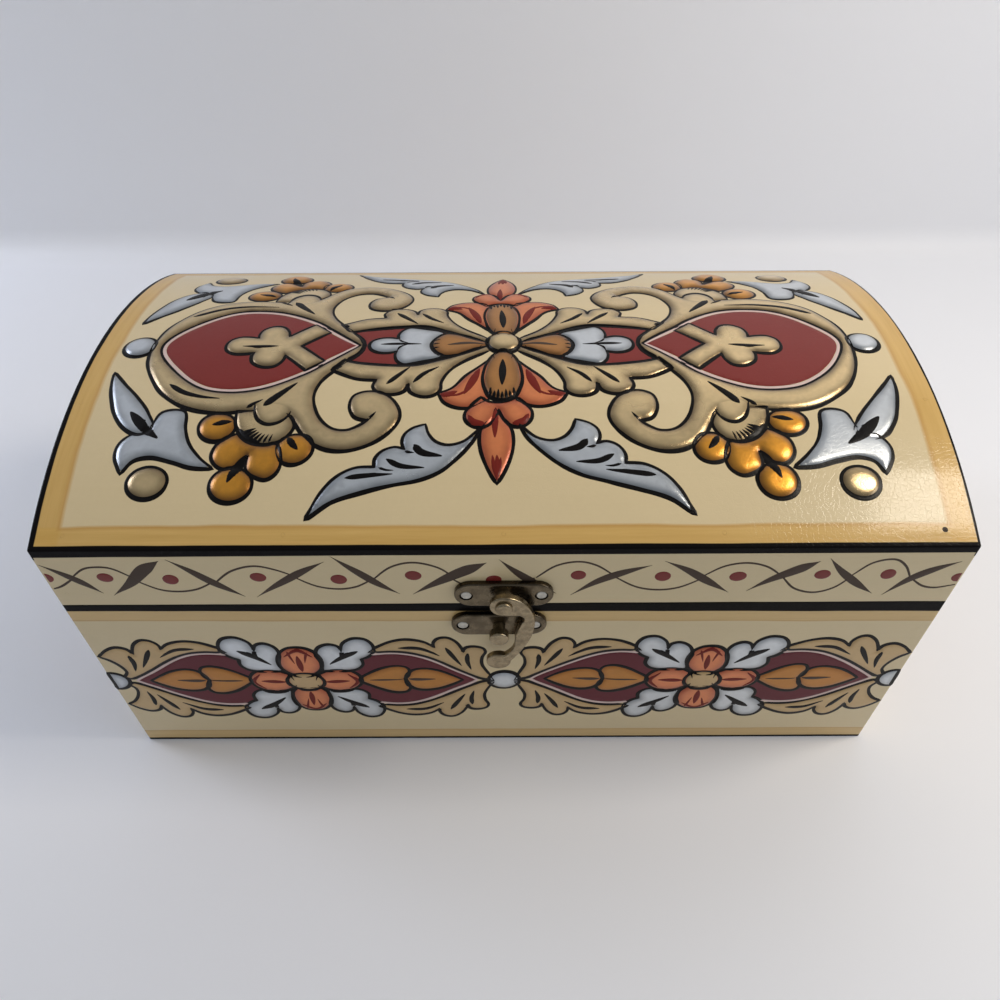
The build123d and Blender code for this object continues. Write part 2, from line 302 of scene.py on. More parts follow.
def paintedWood(name, part):
    # part is base, rail or top. The bands follow the object's own coordinates.
    p = woodPaint
    material, shader, place = newMaterial(name)
    axes = newNode("ShaderNodeSeparateXYZ", {0: place})
    x, y, z = (axes.at(i) * 1000.0 for i in range(3))
    absX, absY = abs(x), abs(y)
    length, depth, seam = box["halfLength"], box["halfDepth"], box["seam"]
    beyond = 200.0  # past every face of the box

    def band(scale, low, high, waver=0.5, soft=0.25):
        return useGroup(paintedBand, Place=place, Scale=scale, Low=low, High=high, Waver=waver, Soft=soft)

    def brushed(contrast, *stretch):
        return useGroup(brushwork, Place=place, Stretch=stretch, Contrast=contrast)

    cream = useGroup(mottle, Place=place, Colour=p["cream"], Amount=0.12, Size=18.0)
    paint = mixColour(brushed(*p["creamBrush"]) * p["creamStreaks"], cream, p["creamStreak"])
    ochreLong = mixColour(brushed(*p["ochreBrush"]), p["ochreDeep"], p["ochre"])
    if part == "base":
        low, lowTop, high, highTop = p["baseBand"]
        waver, soft = p["baseHand"]
        thin = p["baseRuleWidth"]
        leaning = z + x * p["seamLean"]
        bands = either(band(z, low - 1, lowTop, waver, soft), band(leaning, high, highTop + 1, waver, soft))
        rules = either(band(z, lowTop - thin, lowTop, waver), band(leaning, high, high + thin, waver))
        coats = [(bands * p["baseCover"], ochreLong), (rules * p["baseRule"], p["ochreLine"]),
                 (band(z, -beyond, low), p["black"]), (band(leaning, highTop, beyond, 0.6), p["black"])]
        outer = either(absX > length - p["paintDepth"], absY > depth - p["paintDepth"],
                       z > seam - p["edgeDepth"])
    else:
        height = z - box["domeCentre"]
        radial = maths("SQRT", y * y + height * height)
        inside = box["domeRadius"] - box["skin"]
    if part == "rail":
        outX, outY = absX > length - p["paintDepth"], absY > depth - p["paintDepth"]
        lip = outY * band(z + x * p["lipLean"], p["lidBlackFrom"], beyond)
        arch = outX * band(inside - radial, -beyond, p["archRim"])
        coats = [(band(z, -beyond, seam + p["seamBlackAbove"]), p["black"]),
                 (z < seam + p["seamUnder"], p["black"]), (lip, p["black"]), (arch, p["black"])]
        outer = either(outX, outY, z < seam + p["edgeDepth"])
    if part == "top":
        ochreShort = mixColour(brushed(*p["ochreEndBrush"]), p["ochreDeep"], p["ochre"])
        fromEdge = box["halfArc"] - maths("ARCTAN2", absY, height) * box["domeRadius"]
        low, high = p["lidFrontBand"]
        endLow, endHigh = p["lidEndBand"]
        endHand, frontHand = p["lidEndHand"], p["lidFrontHand"]
        endMask = band(absX, endLow, endHigh + 1, *endHand)
        longMask = band(fromEdge, low - 1, high, *frontHand)
        rules = either(endMask, longMask) - either(band(absX, endLow + 1.2, beyond, *endHand),
                                                   band(fromEdge, -beyond, high - 1.0, *frontHand))
        brad = newNode("ShaderNodeVectorMath", {0: place, 1: p["bareBrad"]}, operation="DISTANCE").at("Value")
        coats = [(endMask * p["lidCover"], ochreShort), (longMask * p["lidCover"], ochreLong),
                 (rules * p["lidRule"], p["ochreLine"]), (band(fromEdge, -beyond, low), p["black"]),
                 (band(absX + x * p["lidLean"], endHigh, beyond, 0.7), p["black"]),
                 (brad < p["bradRadius"], p["bradTone"])]
        outer = either(radial > inside + p["edgeDepth"], absY > depth - p["sheetDepth"],
                       absX > length - p["sheetDepth"])
    for mask, tone in coats:
        paint = mixColour(mask, paint, tone)

    # Bare wood inside, with its grain along the panel
    grain, endGrain = brushed(*p["grain"]), brushed(*p["endGrain"])
    atEnd = absX > length - box["wall"] - 0.2
    wood = mixColour(mixValue(atEnd, grain, endGrain), p["bareGrain"], p["bareWood"])
    wood = useGroup(mottle, Place=place, Colour=wood, Amount=0.18, Size=40.0)
    ridges = mixValue(atEnd, grain.at("Ridges"), endGrain.at("Ridges"))
    tone = mixColour(outer, wood, paint)
    skin = useGroup(varnish, Place=place, Roughness=p["creamRoughness"])
    bump = bumpOf(mixValue(outer, ridges, skin.at("Height")), p["bump"])
    # Dark paint shines less
    lightness = newNode("ShaderNodeSeparateColor", {0: tone}, mode="HSV").at(2)
    shine = mapRange(lightness, *p["darkShine"])
    fill(shader, {
        "Base Color": tone, "Roughness": mixValue(outer, p["bareRoughness"], skin),
        "Specular IOR Level": shine * p["shine"], "Coat Weight": outer * shine * p["coat"],
        "Coat Roughness": p["coatRoughness"], "Normal": bump, "Coat Normal": bump})
    return material


basePaint = paintedWood("creamPaintBase", "base")
railPaint = paintedWood("creamPaintLidWalls", "rail")
topPaint = paintedWood("creamPaintLidTop", "top")
for name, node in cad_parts.items():
    if name in ("lid_top_skin", "lid_skin_brads"):
        dress(node, topPaint)
    elif name.startswith("lid_"):
        dress(node, railPaint)
    elif name.startswith("base_"):
        dress(node, basePaint)
print("wood painted")

# Metal paints and inks of the ornament
paints = dict(
    # The rim colour, width and strength set each patch's darker edge: partly the paint's own darker edge,
    # partly painted shade where the raised patch falls to the wood
    gold=dict(tone="E2C794", rim="4A3216", width=4.0, strength=0.88, metal=0.78, rough=0.28, spots=0.5),
    tan=dict(tone="C9AB7C", rim="9A7A4C", width=2.4, strength=0.55, metal=0.15, rough=0.4, spots=0.3),
    leaf=dict(tone="B57D3E", rim="4E2A0E", width=4.0, strength=0.85, metal=0.6, rough=0.34, spots=0.45),
    orange=dict(tone="BF7F32", rim="84461A", width=2.8, strength=0.65, metal=0.2, rough=0.4, spots=0.35),
    copper=dict(tone="DC8350", rim="8A2E22", width=4.2, strength=0.8, metal=0.35, rough=0.32, spots=0.4),
    amber=dict(tone="E29C2E", rim="451E05", width=3.9, strength=0.92, metal=0.75, rough=0.34, spots=0.7),
    silver=dict(tone="D0D5D9", rim="555C63", width=3.6, strength=0.8, metal=0.65, rough=0.3, spots=0.4),
    pearl=dict(tone="DCC4BC", rim="B3968F", width=1.0, strength=0.3, metal=0.1, rough=0.4, spots=0.2),
    maroon=dict(tone="7E2C26", rim="6A2725", width=2.0, strength=0.3, metal=0.0, rough=0.42, spots=0.14,
                coat=0.35),
    # the base's maroon: its own purpler hue, and made darker as painted shade because the base's front stands
    # in shade
    plum=dict(tone="682D34", rim="562630", width=2.0, strength=0.3, metal=0.0, rough=0.42, spots=0.14),
    flame=dict(tone="74241B", rim="641E18", width=1.0, strength=0.3, metal=0.0, rough=0.42, spots=0.2),
    ink=dict(tone="0B0807", rim="080605", width=1.0, strength=0.2, metal=0.0, rough=0.4, spots=0.2),
    umber=dict(tone="4E4036", rim="43362D", width=1.0, strength=0.3, metal=0.0, rough=0.45, spots=0.25),
)

# What all these paints share; shine and coat are for no metal, and what pure metal adds
film = dict(speckle=120.0, bump=0.3, shine=(0.1, 0.8), coat=(0.08, 0.5), coatRoughness=0.16)


def makePaint(name, p):
    material, shader, place = newMaterial(name + "Paint")
    tone = useGroup(mottle, Place=place, Colour=colour(p["tone"]), Amount=p["spots"], Size=film["speckle"])
    # Darker towards the patch's edge: partly the paint's own edge, partly painted shade
    tone = useGroup(rimShade, Place=place, Colour=tone, Rim=colour(p["rim"]), Width=p["width"],
                    Strength=p["strength"])
    skin = useGroup(varnish, Place=place, Roughness=p["rough"])
    bump = bumpOf(skin.at("Height"), film["bump"])
    shine, coat = (start + more * p["metal"] for start, more in (film["shine"], film["coat"]))
    fill(shader, {
        "Base Color": tone, "Roughness": skin, "Metallic": p["metal"], "Specular IOR Level": shine,
        "Coat Weight": p.get("coat", coat), "Coat Roughness": film["coatRoughness"],
        "Normal": bump, "Coat Normal": bump})
    return material


paintMaterials = {name: makePaint(name, p) for name, p in paints.items()}


# Where a flat design lands on the box. Each takes millimetres: along, up or back, and out.
def onDome(x, s, h):
    angle = s / box["domeRadius"]
    reach = box["domeRadius"] + h
    return np.stack([x, reach * np.sin(angle), box["domeCentre"] + reach * np.cos(angle)], 1) * mm


def onFront(x, z, h):
    return np.stack([x, -box["halfDepth"] - h, z], 1) * mm


def onBack(x, z, h):
    return np.stack([-x, box["halfDepth"] + h, z], 1) * mm


def onRightEnd(x, z, h):
    return np.stack([box["halfLength"] + h, x, z], 1) * mm


def onLeftEnd(x, z, h):
    return np.stack([-box["halfLength"] - h, -x, z], 1) * mm


def smoothLine(points, closed=True, step=0.9):
    # A smooth line through the points, with a corner wherever a point has a third value.
    count = len(points)
    line = []
    for i in range(count if closed else count - 1):
        if closed:
            a, b, c, d = (points[(i + k) % count] for k in (-1, 0, 1, 2))
        else:
            b, c = points[i], points[i + 1]
            a = points[i - 1] if i else (2 * b[0] - c[0], 2 * b[1] - c[1])
            d = points[i + 2] if i + 2 < count else (2 * c[0] - b[0], 2 * c[1] - b[1])
        if len(b) > 2:
            a = (2 * b[0] - c[0], 2 * b[1] - c[1])
        if len(c) > 2:
            d = (2 * c[0] - b[0], 2 * c[1] - b[1])
        span = hypot(c[0] - b[0], c[1] - b[1])
        before = max(hypot(b[0] - a[0], b[1] - a[1]), 1e-3) ** 0.5
        here = max(span, 1e-3) ** 0.5
        after = max(hypot(d[0] - c[0], d[1] - c[1]), 1e-3) ** 0.5
        pieces = max(1, round(span / step))
        for j in range(pieces):
            t = j / pieces
            place = []
            for k in (0, 1):
                rise = here * ((b[k] - a[k]) / before - (c[k] - a[k]) / (before + here)) + c[k] - b[k]
                fall = c[k] - b[k] + here * ((d[k] - c[k]) / after - (d[k] - b[k]) / (here + after))
                place.append((2 * t ** 3 - 3 * t ** 2 + 1) * b[k] + (t ** 3 - 2 * t ** 2 + t) * rise
                             + (3 * t ** 2 - 2 * t ** 3) * c[k] + (t ** 3 - t ** 2) * fall)
            line.append(place)
    if not closed:
        line.append(points[-1][:2])
    return np.array(line)


# How the patches are meshed, and how they rise; lengths in millimetres
meshing = dict(
    chunk=2000,  # points measured at once
    step=2.2,  # between the points on top of a patch
    rowStep=0.87,  # between the rows of that grid, as a share of the step
    inner=1.25,  # where that grid starts, as a share of the rounding
    rings=(0.3, 0.65, 1.0),  # rows of points near the edge, as shares of the rounding
    cell=0.45,  # closest two points may come
    rampWidth=0.2,
    curve=2.2,  # fullness of the rounded edge
    buried=-0.03,  # the patch's border, just under the wood
)


def edgeDistance(points, loops):
    nearest = np.full(len(points), 1e9)
    for loop in loops:
        run = np.roll(loop, -1, 0) - loop
        length = np.maximum((run ** 2).sum(1), 1e-9)
        for first in range(0, len(points), meshing["chunk"]):
            some = slice(first, first + meshing["chunk"])
            offset = points[some, None] - loop
            t = np.clip((offset * run).sum(2) / length, 0, 1)
            gap = offset - t[..., None] * run
            nearest[some] = np.minimum(nearest[some], np.sqrt((gap ** 2).sum(2)).min(1))
    return nearest


def outwardOf(loop):
    # Unit directions out of a closed line, one at each of its points.
    after = np.roll(loop, -1, 0)
    run = after - np.roll(loop, 1, 0)
    run /= np.maximum(np.hypot(run[:, 0], run[:, 1]), 1e-9)[:, None]
    area = (loop[:, 0] * after[:, 1] - after[:, 0] * loop[:, 1]).sum()
    return np.stack([run[:, 1], -run[:, 0]], 1) * (1 if area > 0 else -1)


def isInside(points, loops):
    crossings = np.zeros(len(points), int)
    for loop in loops:
        end = np.roll(loop, -1, 0)
        rise = end[:, 1] - loop[:, 1]
        rise = np.where(np.abs(rise) < 1e-12, 1e-12, rise)
        for first in range(0, len(points), meshing["chunk"]):
            some = slice(first, first + meshing["chunk"])
            across, up = points[some, :1], points[some, 1:]
            straddles = (loop[:, 1] > up) != (end[:, 1] > up)
            cut = loop[:, 0] + (up - loop[:, 1]) * (end[:, 0] - loop[:, 0]) / rise
            crossings[some] += (straddles & (across < cut)).sum(1)
    return crossings % 2 == 1


def relief(distance, height, rounding, base):
    # Height of a raised patch at a distance in from its edge.
    t = np.clip(distance / rounding, 0, 1)
    return base * np.clip(distance / meshing["rampWidth"], 0, 1) + height * (1 - (1 - t) ** meshing["curve"])


def patchMesh(loops, rounding):
    # Points, faces and edge distances of one raised patch in its flat design.
    border = np.concatenate(loops)
    edges, offset = [], 0
    for loop in loops:
        edges += [(offset + i, offset + (i + 1) % len(loop)) for i in range(len(loop))]
        offset += len(loop)
    low, high, step = border.min(0), border.max(0), meshing["step"]
    rows = np.arange(low[1] + step / 2, high[1], step * meshing["rowStep"])
    grid = [(x + (step / 2 if j % 2 else 0), y) for j, y in enumerate(rows)
            for x in np.arange(low[0], high[0], step)]
    inner = [(np.array(grid).reshape(-1, 2), rounding * meshing["inner"])]
    for share in meshing["rings"]:
        inset = share * rounding
        for loop in loops:
            for sign in (1, -1):
                ring = (loop + sign * inset * outwardOf(loop))[::1 if share < 0.5 else 2]
                inner.append((ring, inset * 0.9))
    chosen = {}
    for points, limit in reversed(inner):
        points = points[isInside(points, loops)]
        for q in points[edgeDistance(points, loops) > limit]:
            chosen.setdefault((round(q[0] / meshing["cell"]), round(q[1] / meshing["cell"])), q)
    everything = np.concatenate([border, np.array(list(chosen.values())).reshape(-1, 2)])
    made = delaunay_2d_cdt([Vector(q) for q in everything.tolist()], edges, [], 0, 1e-4)
    points = np.array([tuple(v) for v in made[0]])
    faces = np.array([f for f in made[2] if len(f) == 3])
    faces = faces[isInside(points[faces].mean(1), loops)]
    a, b, c = (points[faces[:, k]] for k in range(3))
    area = (b[:, 0] - a[:, 0]) * (c[:, 1] - a[:, 1]) - (b[:, 1] - a[:, 1]) * (c[:, 0] - a[:, 0])
    faces, area = faces[np.abs(area) > 1e-6], area[np.abs(area) > 1e-6]
    faces[area < 0] = faces[area < 0][:, ::-1]
    return points, faces, edgeDistance(points, loops)


def newPiece(name, points, faces, material):
    mesh = bpy.data.meshes.new(name)
    mesh.from_pydata(points, [], faces)
    mesh.shade_smooth()
    mesh.materials.append(material)
    piece = bpy.data.objects.new(name, mesh)
    bpy.context.scene.collection.objects.link(piece)
    return piece


class PaintLayer:
    # One mesh of one paint on one body, filled piece by piece.
    def __init__(self, name, paint, body):
        self.name, self.paint, self.body = name, paint, body
        self.points, self.faces, self.inset, self.count = [], [], [], 0

    def add(self, points, faces, inset):
        self.points.append(points)
        self.faces += (np.asarray(faces) + self.count).tolist()
        self.inset.append(inset)
        self.count += len(points)

    def finish(self):
        points = np.concatenate(self.points).tolist()
        piece = newPiece(self.name, points, self.faces, paintMaterials[self.paint])
        inset = piece.data.attributes.new("inset", "FLOAT", "POINT")
        inset.data.foreach_set("value", np.concatenate(self.inset).astype(np.float32))
        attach(piece, self.body)


# The painter's hand; lengths in millimetres
hand = dict(
    sway=0.35,
    inkLift=0.09,
    inkWidth=1.2,
    inkHeavy=0.5,  # added on the side that faces the front
    heavyWay=(0.3, 0.94),  # how far that side turns away from the middle and to the front
    heavyPower=1.5,
    farThin=0.32,  # how much thinner the ink is on the far side of the lid
    farReach=40,  # and how far behind the crown it gets there
    wallBold=1.25,  # how much bolder it is on the flat walls
    inkOut=0.22,  # how far outside the edge it lies, as a share of its width
    inkLeast=0.12,  # the thinnest ink that is drawn
    fade=1.5,  # length over which the ink fades at a gap
    hidden=0.35,  # how far under a later patch the ink ends
    evened=3,  # points on each side that the width is averaged over
    across=(-1.0, -0.55, 0.0, 0.55, 1.0),  # points across a line, as shares of its half width
)


def sway(points, seed):
    # Slow drift of a hand-drawn line.
    x, y = points[:, 0], points[:, 1]
    dx = np.sin(0.071 * x + 0.093 * y + 1.7 * seed) + 0.6 * np.sin(0.19 * x - 0.13 * y + 2.9 * seed)
    dy = np.sin(0.083 * x - 0.061 * y + 2.3 * seed + 1) + 0.6 * np.sin(0.11 * x + 0.21 * y + 0.7 * seed)
    return points + hand["sway"] * np.stack([dx, dy], 1)


def beneath(points, loops):
    # Which points lie within a patch's loops, and how far in from its edge.
    border = np.concatenate(loops)
    near = np.where((points >= border.min(0)).all(1) & (points <= border.max(0)).all(1))[0]
    near = near[isInside(points[near], loops)]
    return near, edgeDistance(points[near], loops)


class Ornament:
    # A flat design of raised patches and drawn lines, set on one face of the box.
    def __init__(self, label, body, surface, seed):
        self.label, self.body, self.surface, self.seed = label, body, surface, seed
        self.layers, self.patches, self.waiting = {}, [], []

    def lay(self, paint, points, height, faces, inset):
        if paint not in self.layers:
            self.layers[paint] = PaintLayer(self.label + paint[0].upper() + paint[1:], paint, self.body)
        flat = sway(points, self.seed)
        self.layers[paint].add(self.surface(flat[:, 0], flat[:, 1], height), faces, inset)

    def patch(self, paint, loops, height, rounding, base=0.0, outline=True, gaps=()):
        points, faces, distance = patchMesh(loops, rounding)
        out = np.where(distance < 0.02, meshing["buried"], relief(distance, height, rounding, base))
        self.lay(paint, points, out, faces, distance)
        self.patches.append((loops, height, rounding, base))
        if outline:
            for index, loop in enumerate(loops):
                self.waiting.append((loop, gaps, index, len(self.patches)))

    def ground(self, points):
        # How far the raised patches lift a drawn line at each point.
        top = np.zeros(len(points))
        for loops, *shape in self.patches:
            near, distance = beneath(points, loops)
            top[near] = np.maximum(top[near], relief(distance, *shape))
        return top

    def ribbon(self, paint, line, widths, closed):
        count = len(line)
        if closed:
            run = np.roll(line, -1, 0) - np.roll(line, 1, 0)
        else:
            run = np.gradient(line, axis=0)
        run /= np.maximum(np.hypot(run[:, 0], run[:, 1]), 1e-9)[:, None]
        side = np.stack([-run[:, 1], run[:, 0]], 1)
        across = np.array(hand["across"])
        wide = len(across)
        points = line[:, None] + side[:, None] * across[:, None] * widths[:, None, None] / 2
        points = points.reshape(-1, 2)
        lift = hand["inkLift"] * (1 - across ** 2) ** 0.5 + meshing["buried"] * np.abs(across) ** 6
        faces = []
        for i in range(count if closed else count - 1):
            n = (i + 1) % count
            for j in range(wide - 1):
                faces.append((i * wide + j, n * wide + j, n * wide + j + 1))
                faces.append((i * wide + j, n * wide + j + 1, i * wide + j + 1))
        inset = np.tile(1 - np.abs(across), count) * np.repeat(widths, wide) / 2
        self.lay(paint, points, self.ground(points) + np.tile(lift, count), faces, inset)

    def stroke(self, paint, points, width, thin=0.15, fat=0.5, taper=0.8):
        # A brush line that swells to its width at the share fat of its length.
        line = smoothLine(points, closed=False, step=0.8)
        t = np.linspace(0, 1, len(line))
        swell = np.where(t < fat, t / fat, (1 - t) / (1 - fat))
        widths = width * (thin + (1 - thin) * np.sin(swell * pi / 2) ** taper)
        self.ribbon(paint, line, widths, False)

    def drawOutlines(self):
        # The ink edge of each patch, heavier on the side that faces the front and away from the middle.
        away, front = hand["heavyWay"]
        reach = hand["evened"]
        even = np.ones(2 * reach + 1) / (2 * reach + 1)
        for loop, gaps, index, above in self.waiting:
            outward = outwardOf(loop) * (-1 if index else 1)
            heavy = np.clip(away * outward[:, 0] * np.sign(loop[:, 0]) - front * outward[:, 1], 0, 1)
            place = np.arange(len(loop))
            wander = 0.12 * np.sin(place * 0.31 + loop[0, 0]) + 0.08 * np.sin(place * 0.13)
            widths = hand["inkWidth"] * (1 + wander) + hand["inkHeavy"] * heavy ** hand["heavyPower"]
            for u, w, r in gaps:
                near = np.hypot(loop[:, 0] - u, loop[:, 1] - w)
                widths = widths * np.clip((near - r) / hand["fade"], 0, 1)
            for later in self.patches[above:]:
                # No ink where a later patch lies on top
                hidden, distance = beneath(loop, later[0])
                widths[hidden[distance > hand["hidden"]]] = 0
            if self.surface is onDome:
                widths = widths * (1 - hand["farThin"] * np.clip(loop[:, 1] / hand["farReach"], 0, 1))
            else:
                widths = widths * hand["wallBold"]
            around = np.concatenate([widths[-reach:], widths, widths[:reach]])
            bold = np.convolve(around, even, "valid")
            centre = loop + outward * (bold[:, None] * hand["inkOut"])
            keep = bold > hand["inkLeast"]
            if keep.all():
                self.ribbon("ink", centre, bold, True)
                continue
            order = np.roll(place, -int(np.argmin(keep)))
            for run in np.split(order, np.where(~keep[order])[0]):
                run = run[keep[run]]
                if len(run) > 2:
                    self.ribbon("ink", centre[run], bold[run], False)

    def finish(self):
        for layer in self.layers.values():
            layer.finish()


def acrossAxis(half, axis):
    # A closed outline from its half, reflected in one axis.
    other = [(p[0] if axis else -p[0], -p[1] if axis else p[1], *p[2:]) for p in reversed(half)]
    return half + [p for p in other if abs(p[axis]) > 0.01]


def oval(u, w, alongRadius, upRadius, count=14):
    turns = [2 * pi * i / count for i in range(count)]
    return [(u + alongRadius * cos(turn), w + upRadius * sin(turn)) for turn in turns]


def reflected(points, signU, signW, shift=(0, 0)):
    return [(signU * p[0] + shift[0], signW * p[1] + shift[1], *p[2:]) for p in points]


def copySigns(copies):
    # The quarters that a piece of the pattern is repeated in, the front first.
    named = dict(xw=[(1, -1), (-1, -1), (1, 1), (-1, 1)], x=[(1, -1), (-1, -1)], w=[(1, -1), (1, 1)],
                 back=[(1, 1), (-1, 1)], left=[(-1, -1)])
    return named.get(copies, [(1, -1)])


# The lid's ornament: one quarter, in millimetres from the middle of the crown
almondEdge = [
    (53, 0, 1), (59.5, 4.6), (65, 9), (70.5, 14), (78, 18.7), (86, 22), (95, 23.5), (103, 22.5),
    (110, 18.5), (117, 11.5), (122, 4), (123, 0)
]
ringEdge = [
    (51.7, 0, 1), (58.6, 6.2), (63.8, 10.6), (69, 15.4), (77.2, 20.4), (85.6, 23.8), (95, 25.3),
    (103.8, 24.2), (111.4, 19.8), (118.6, 12.6), (123.8, 4.4), (124.8, 0)
]
scrollEdge = [
    (50.3, 0, 1), (51.2, 3.6), (55, 8.5), (60, 13.8), (64, 19.3), (66, 26), (65, 32.5), (62, 38.3),
    (57.5, 42), (52.5, 42.7), (48.5, 40.8), (46, 38.7, 1), (50.5, 37), (52.8, 32.5), (52, 27.8), (48, 25.7),
    (43, 26), (39, 28.7), (36.5, 33), (35.8, 37), (37.2, 41), (40.5, 44.8), (46, 48.8), (52.5, 51),
    (58.5, 50.5), (64, 47.5), (68, 43), (71, 38), (74, 34.4, 1), (80, 33), (88, 33.7), (96, 34.7),
    (105, 33.7), (113, 30.3), (120, 24.5), (125, 16), (127, 10), (128, 3), (128.2, 0)
]
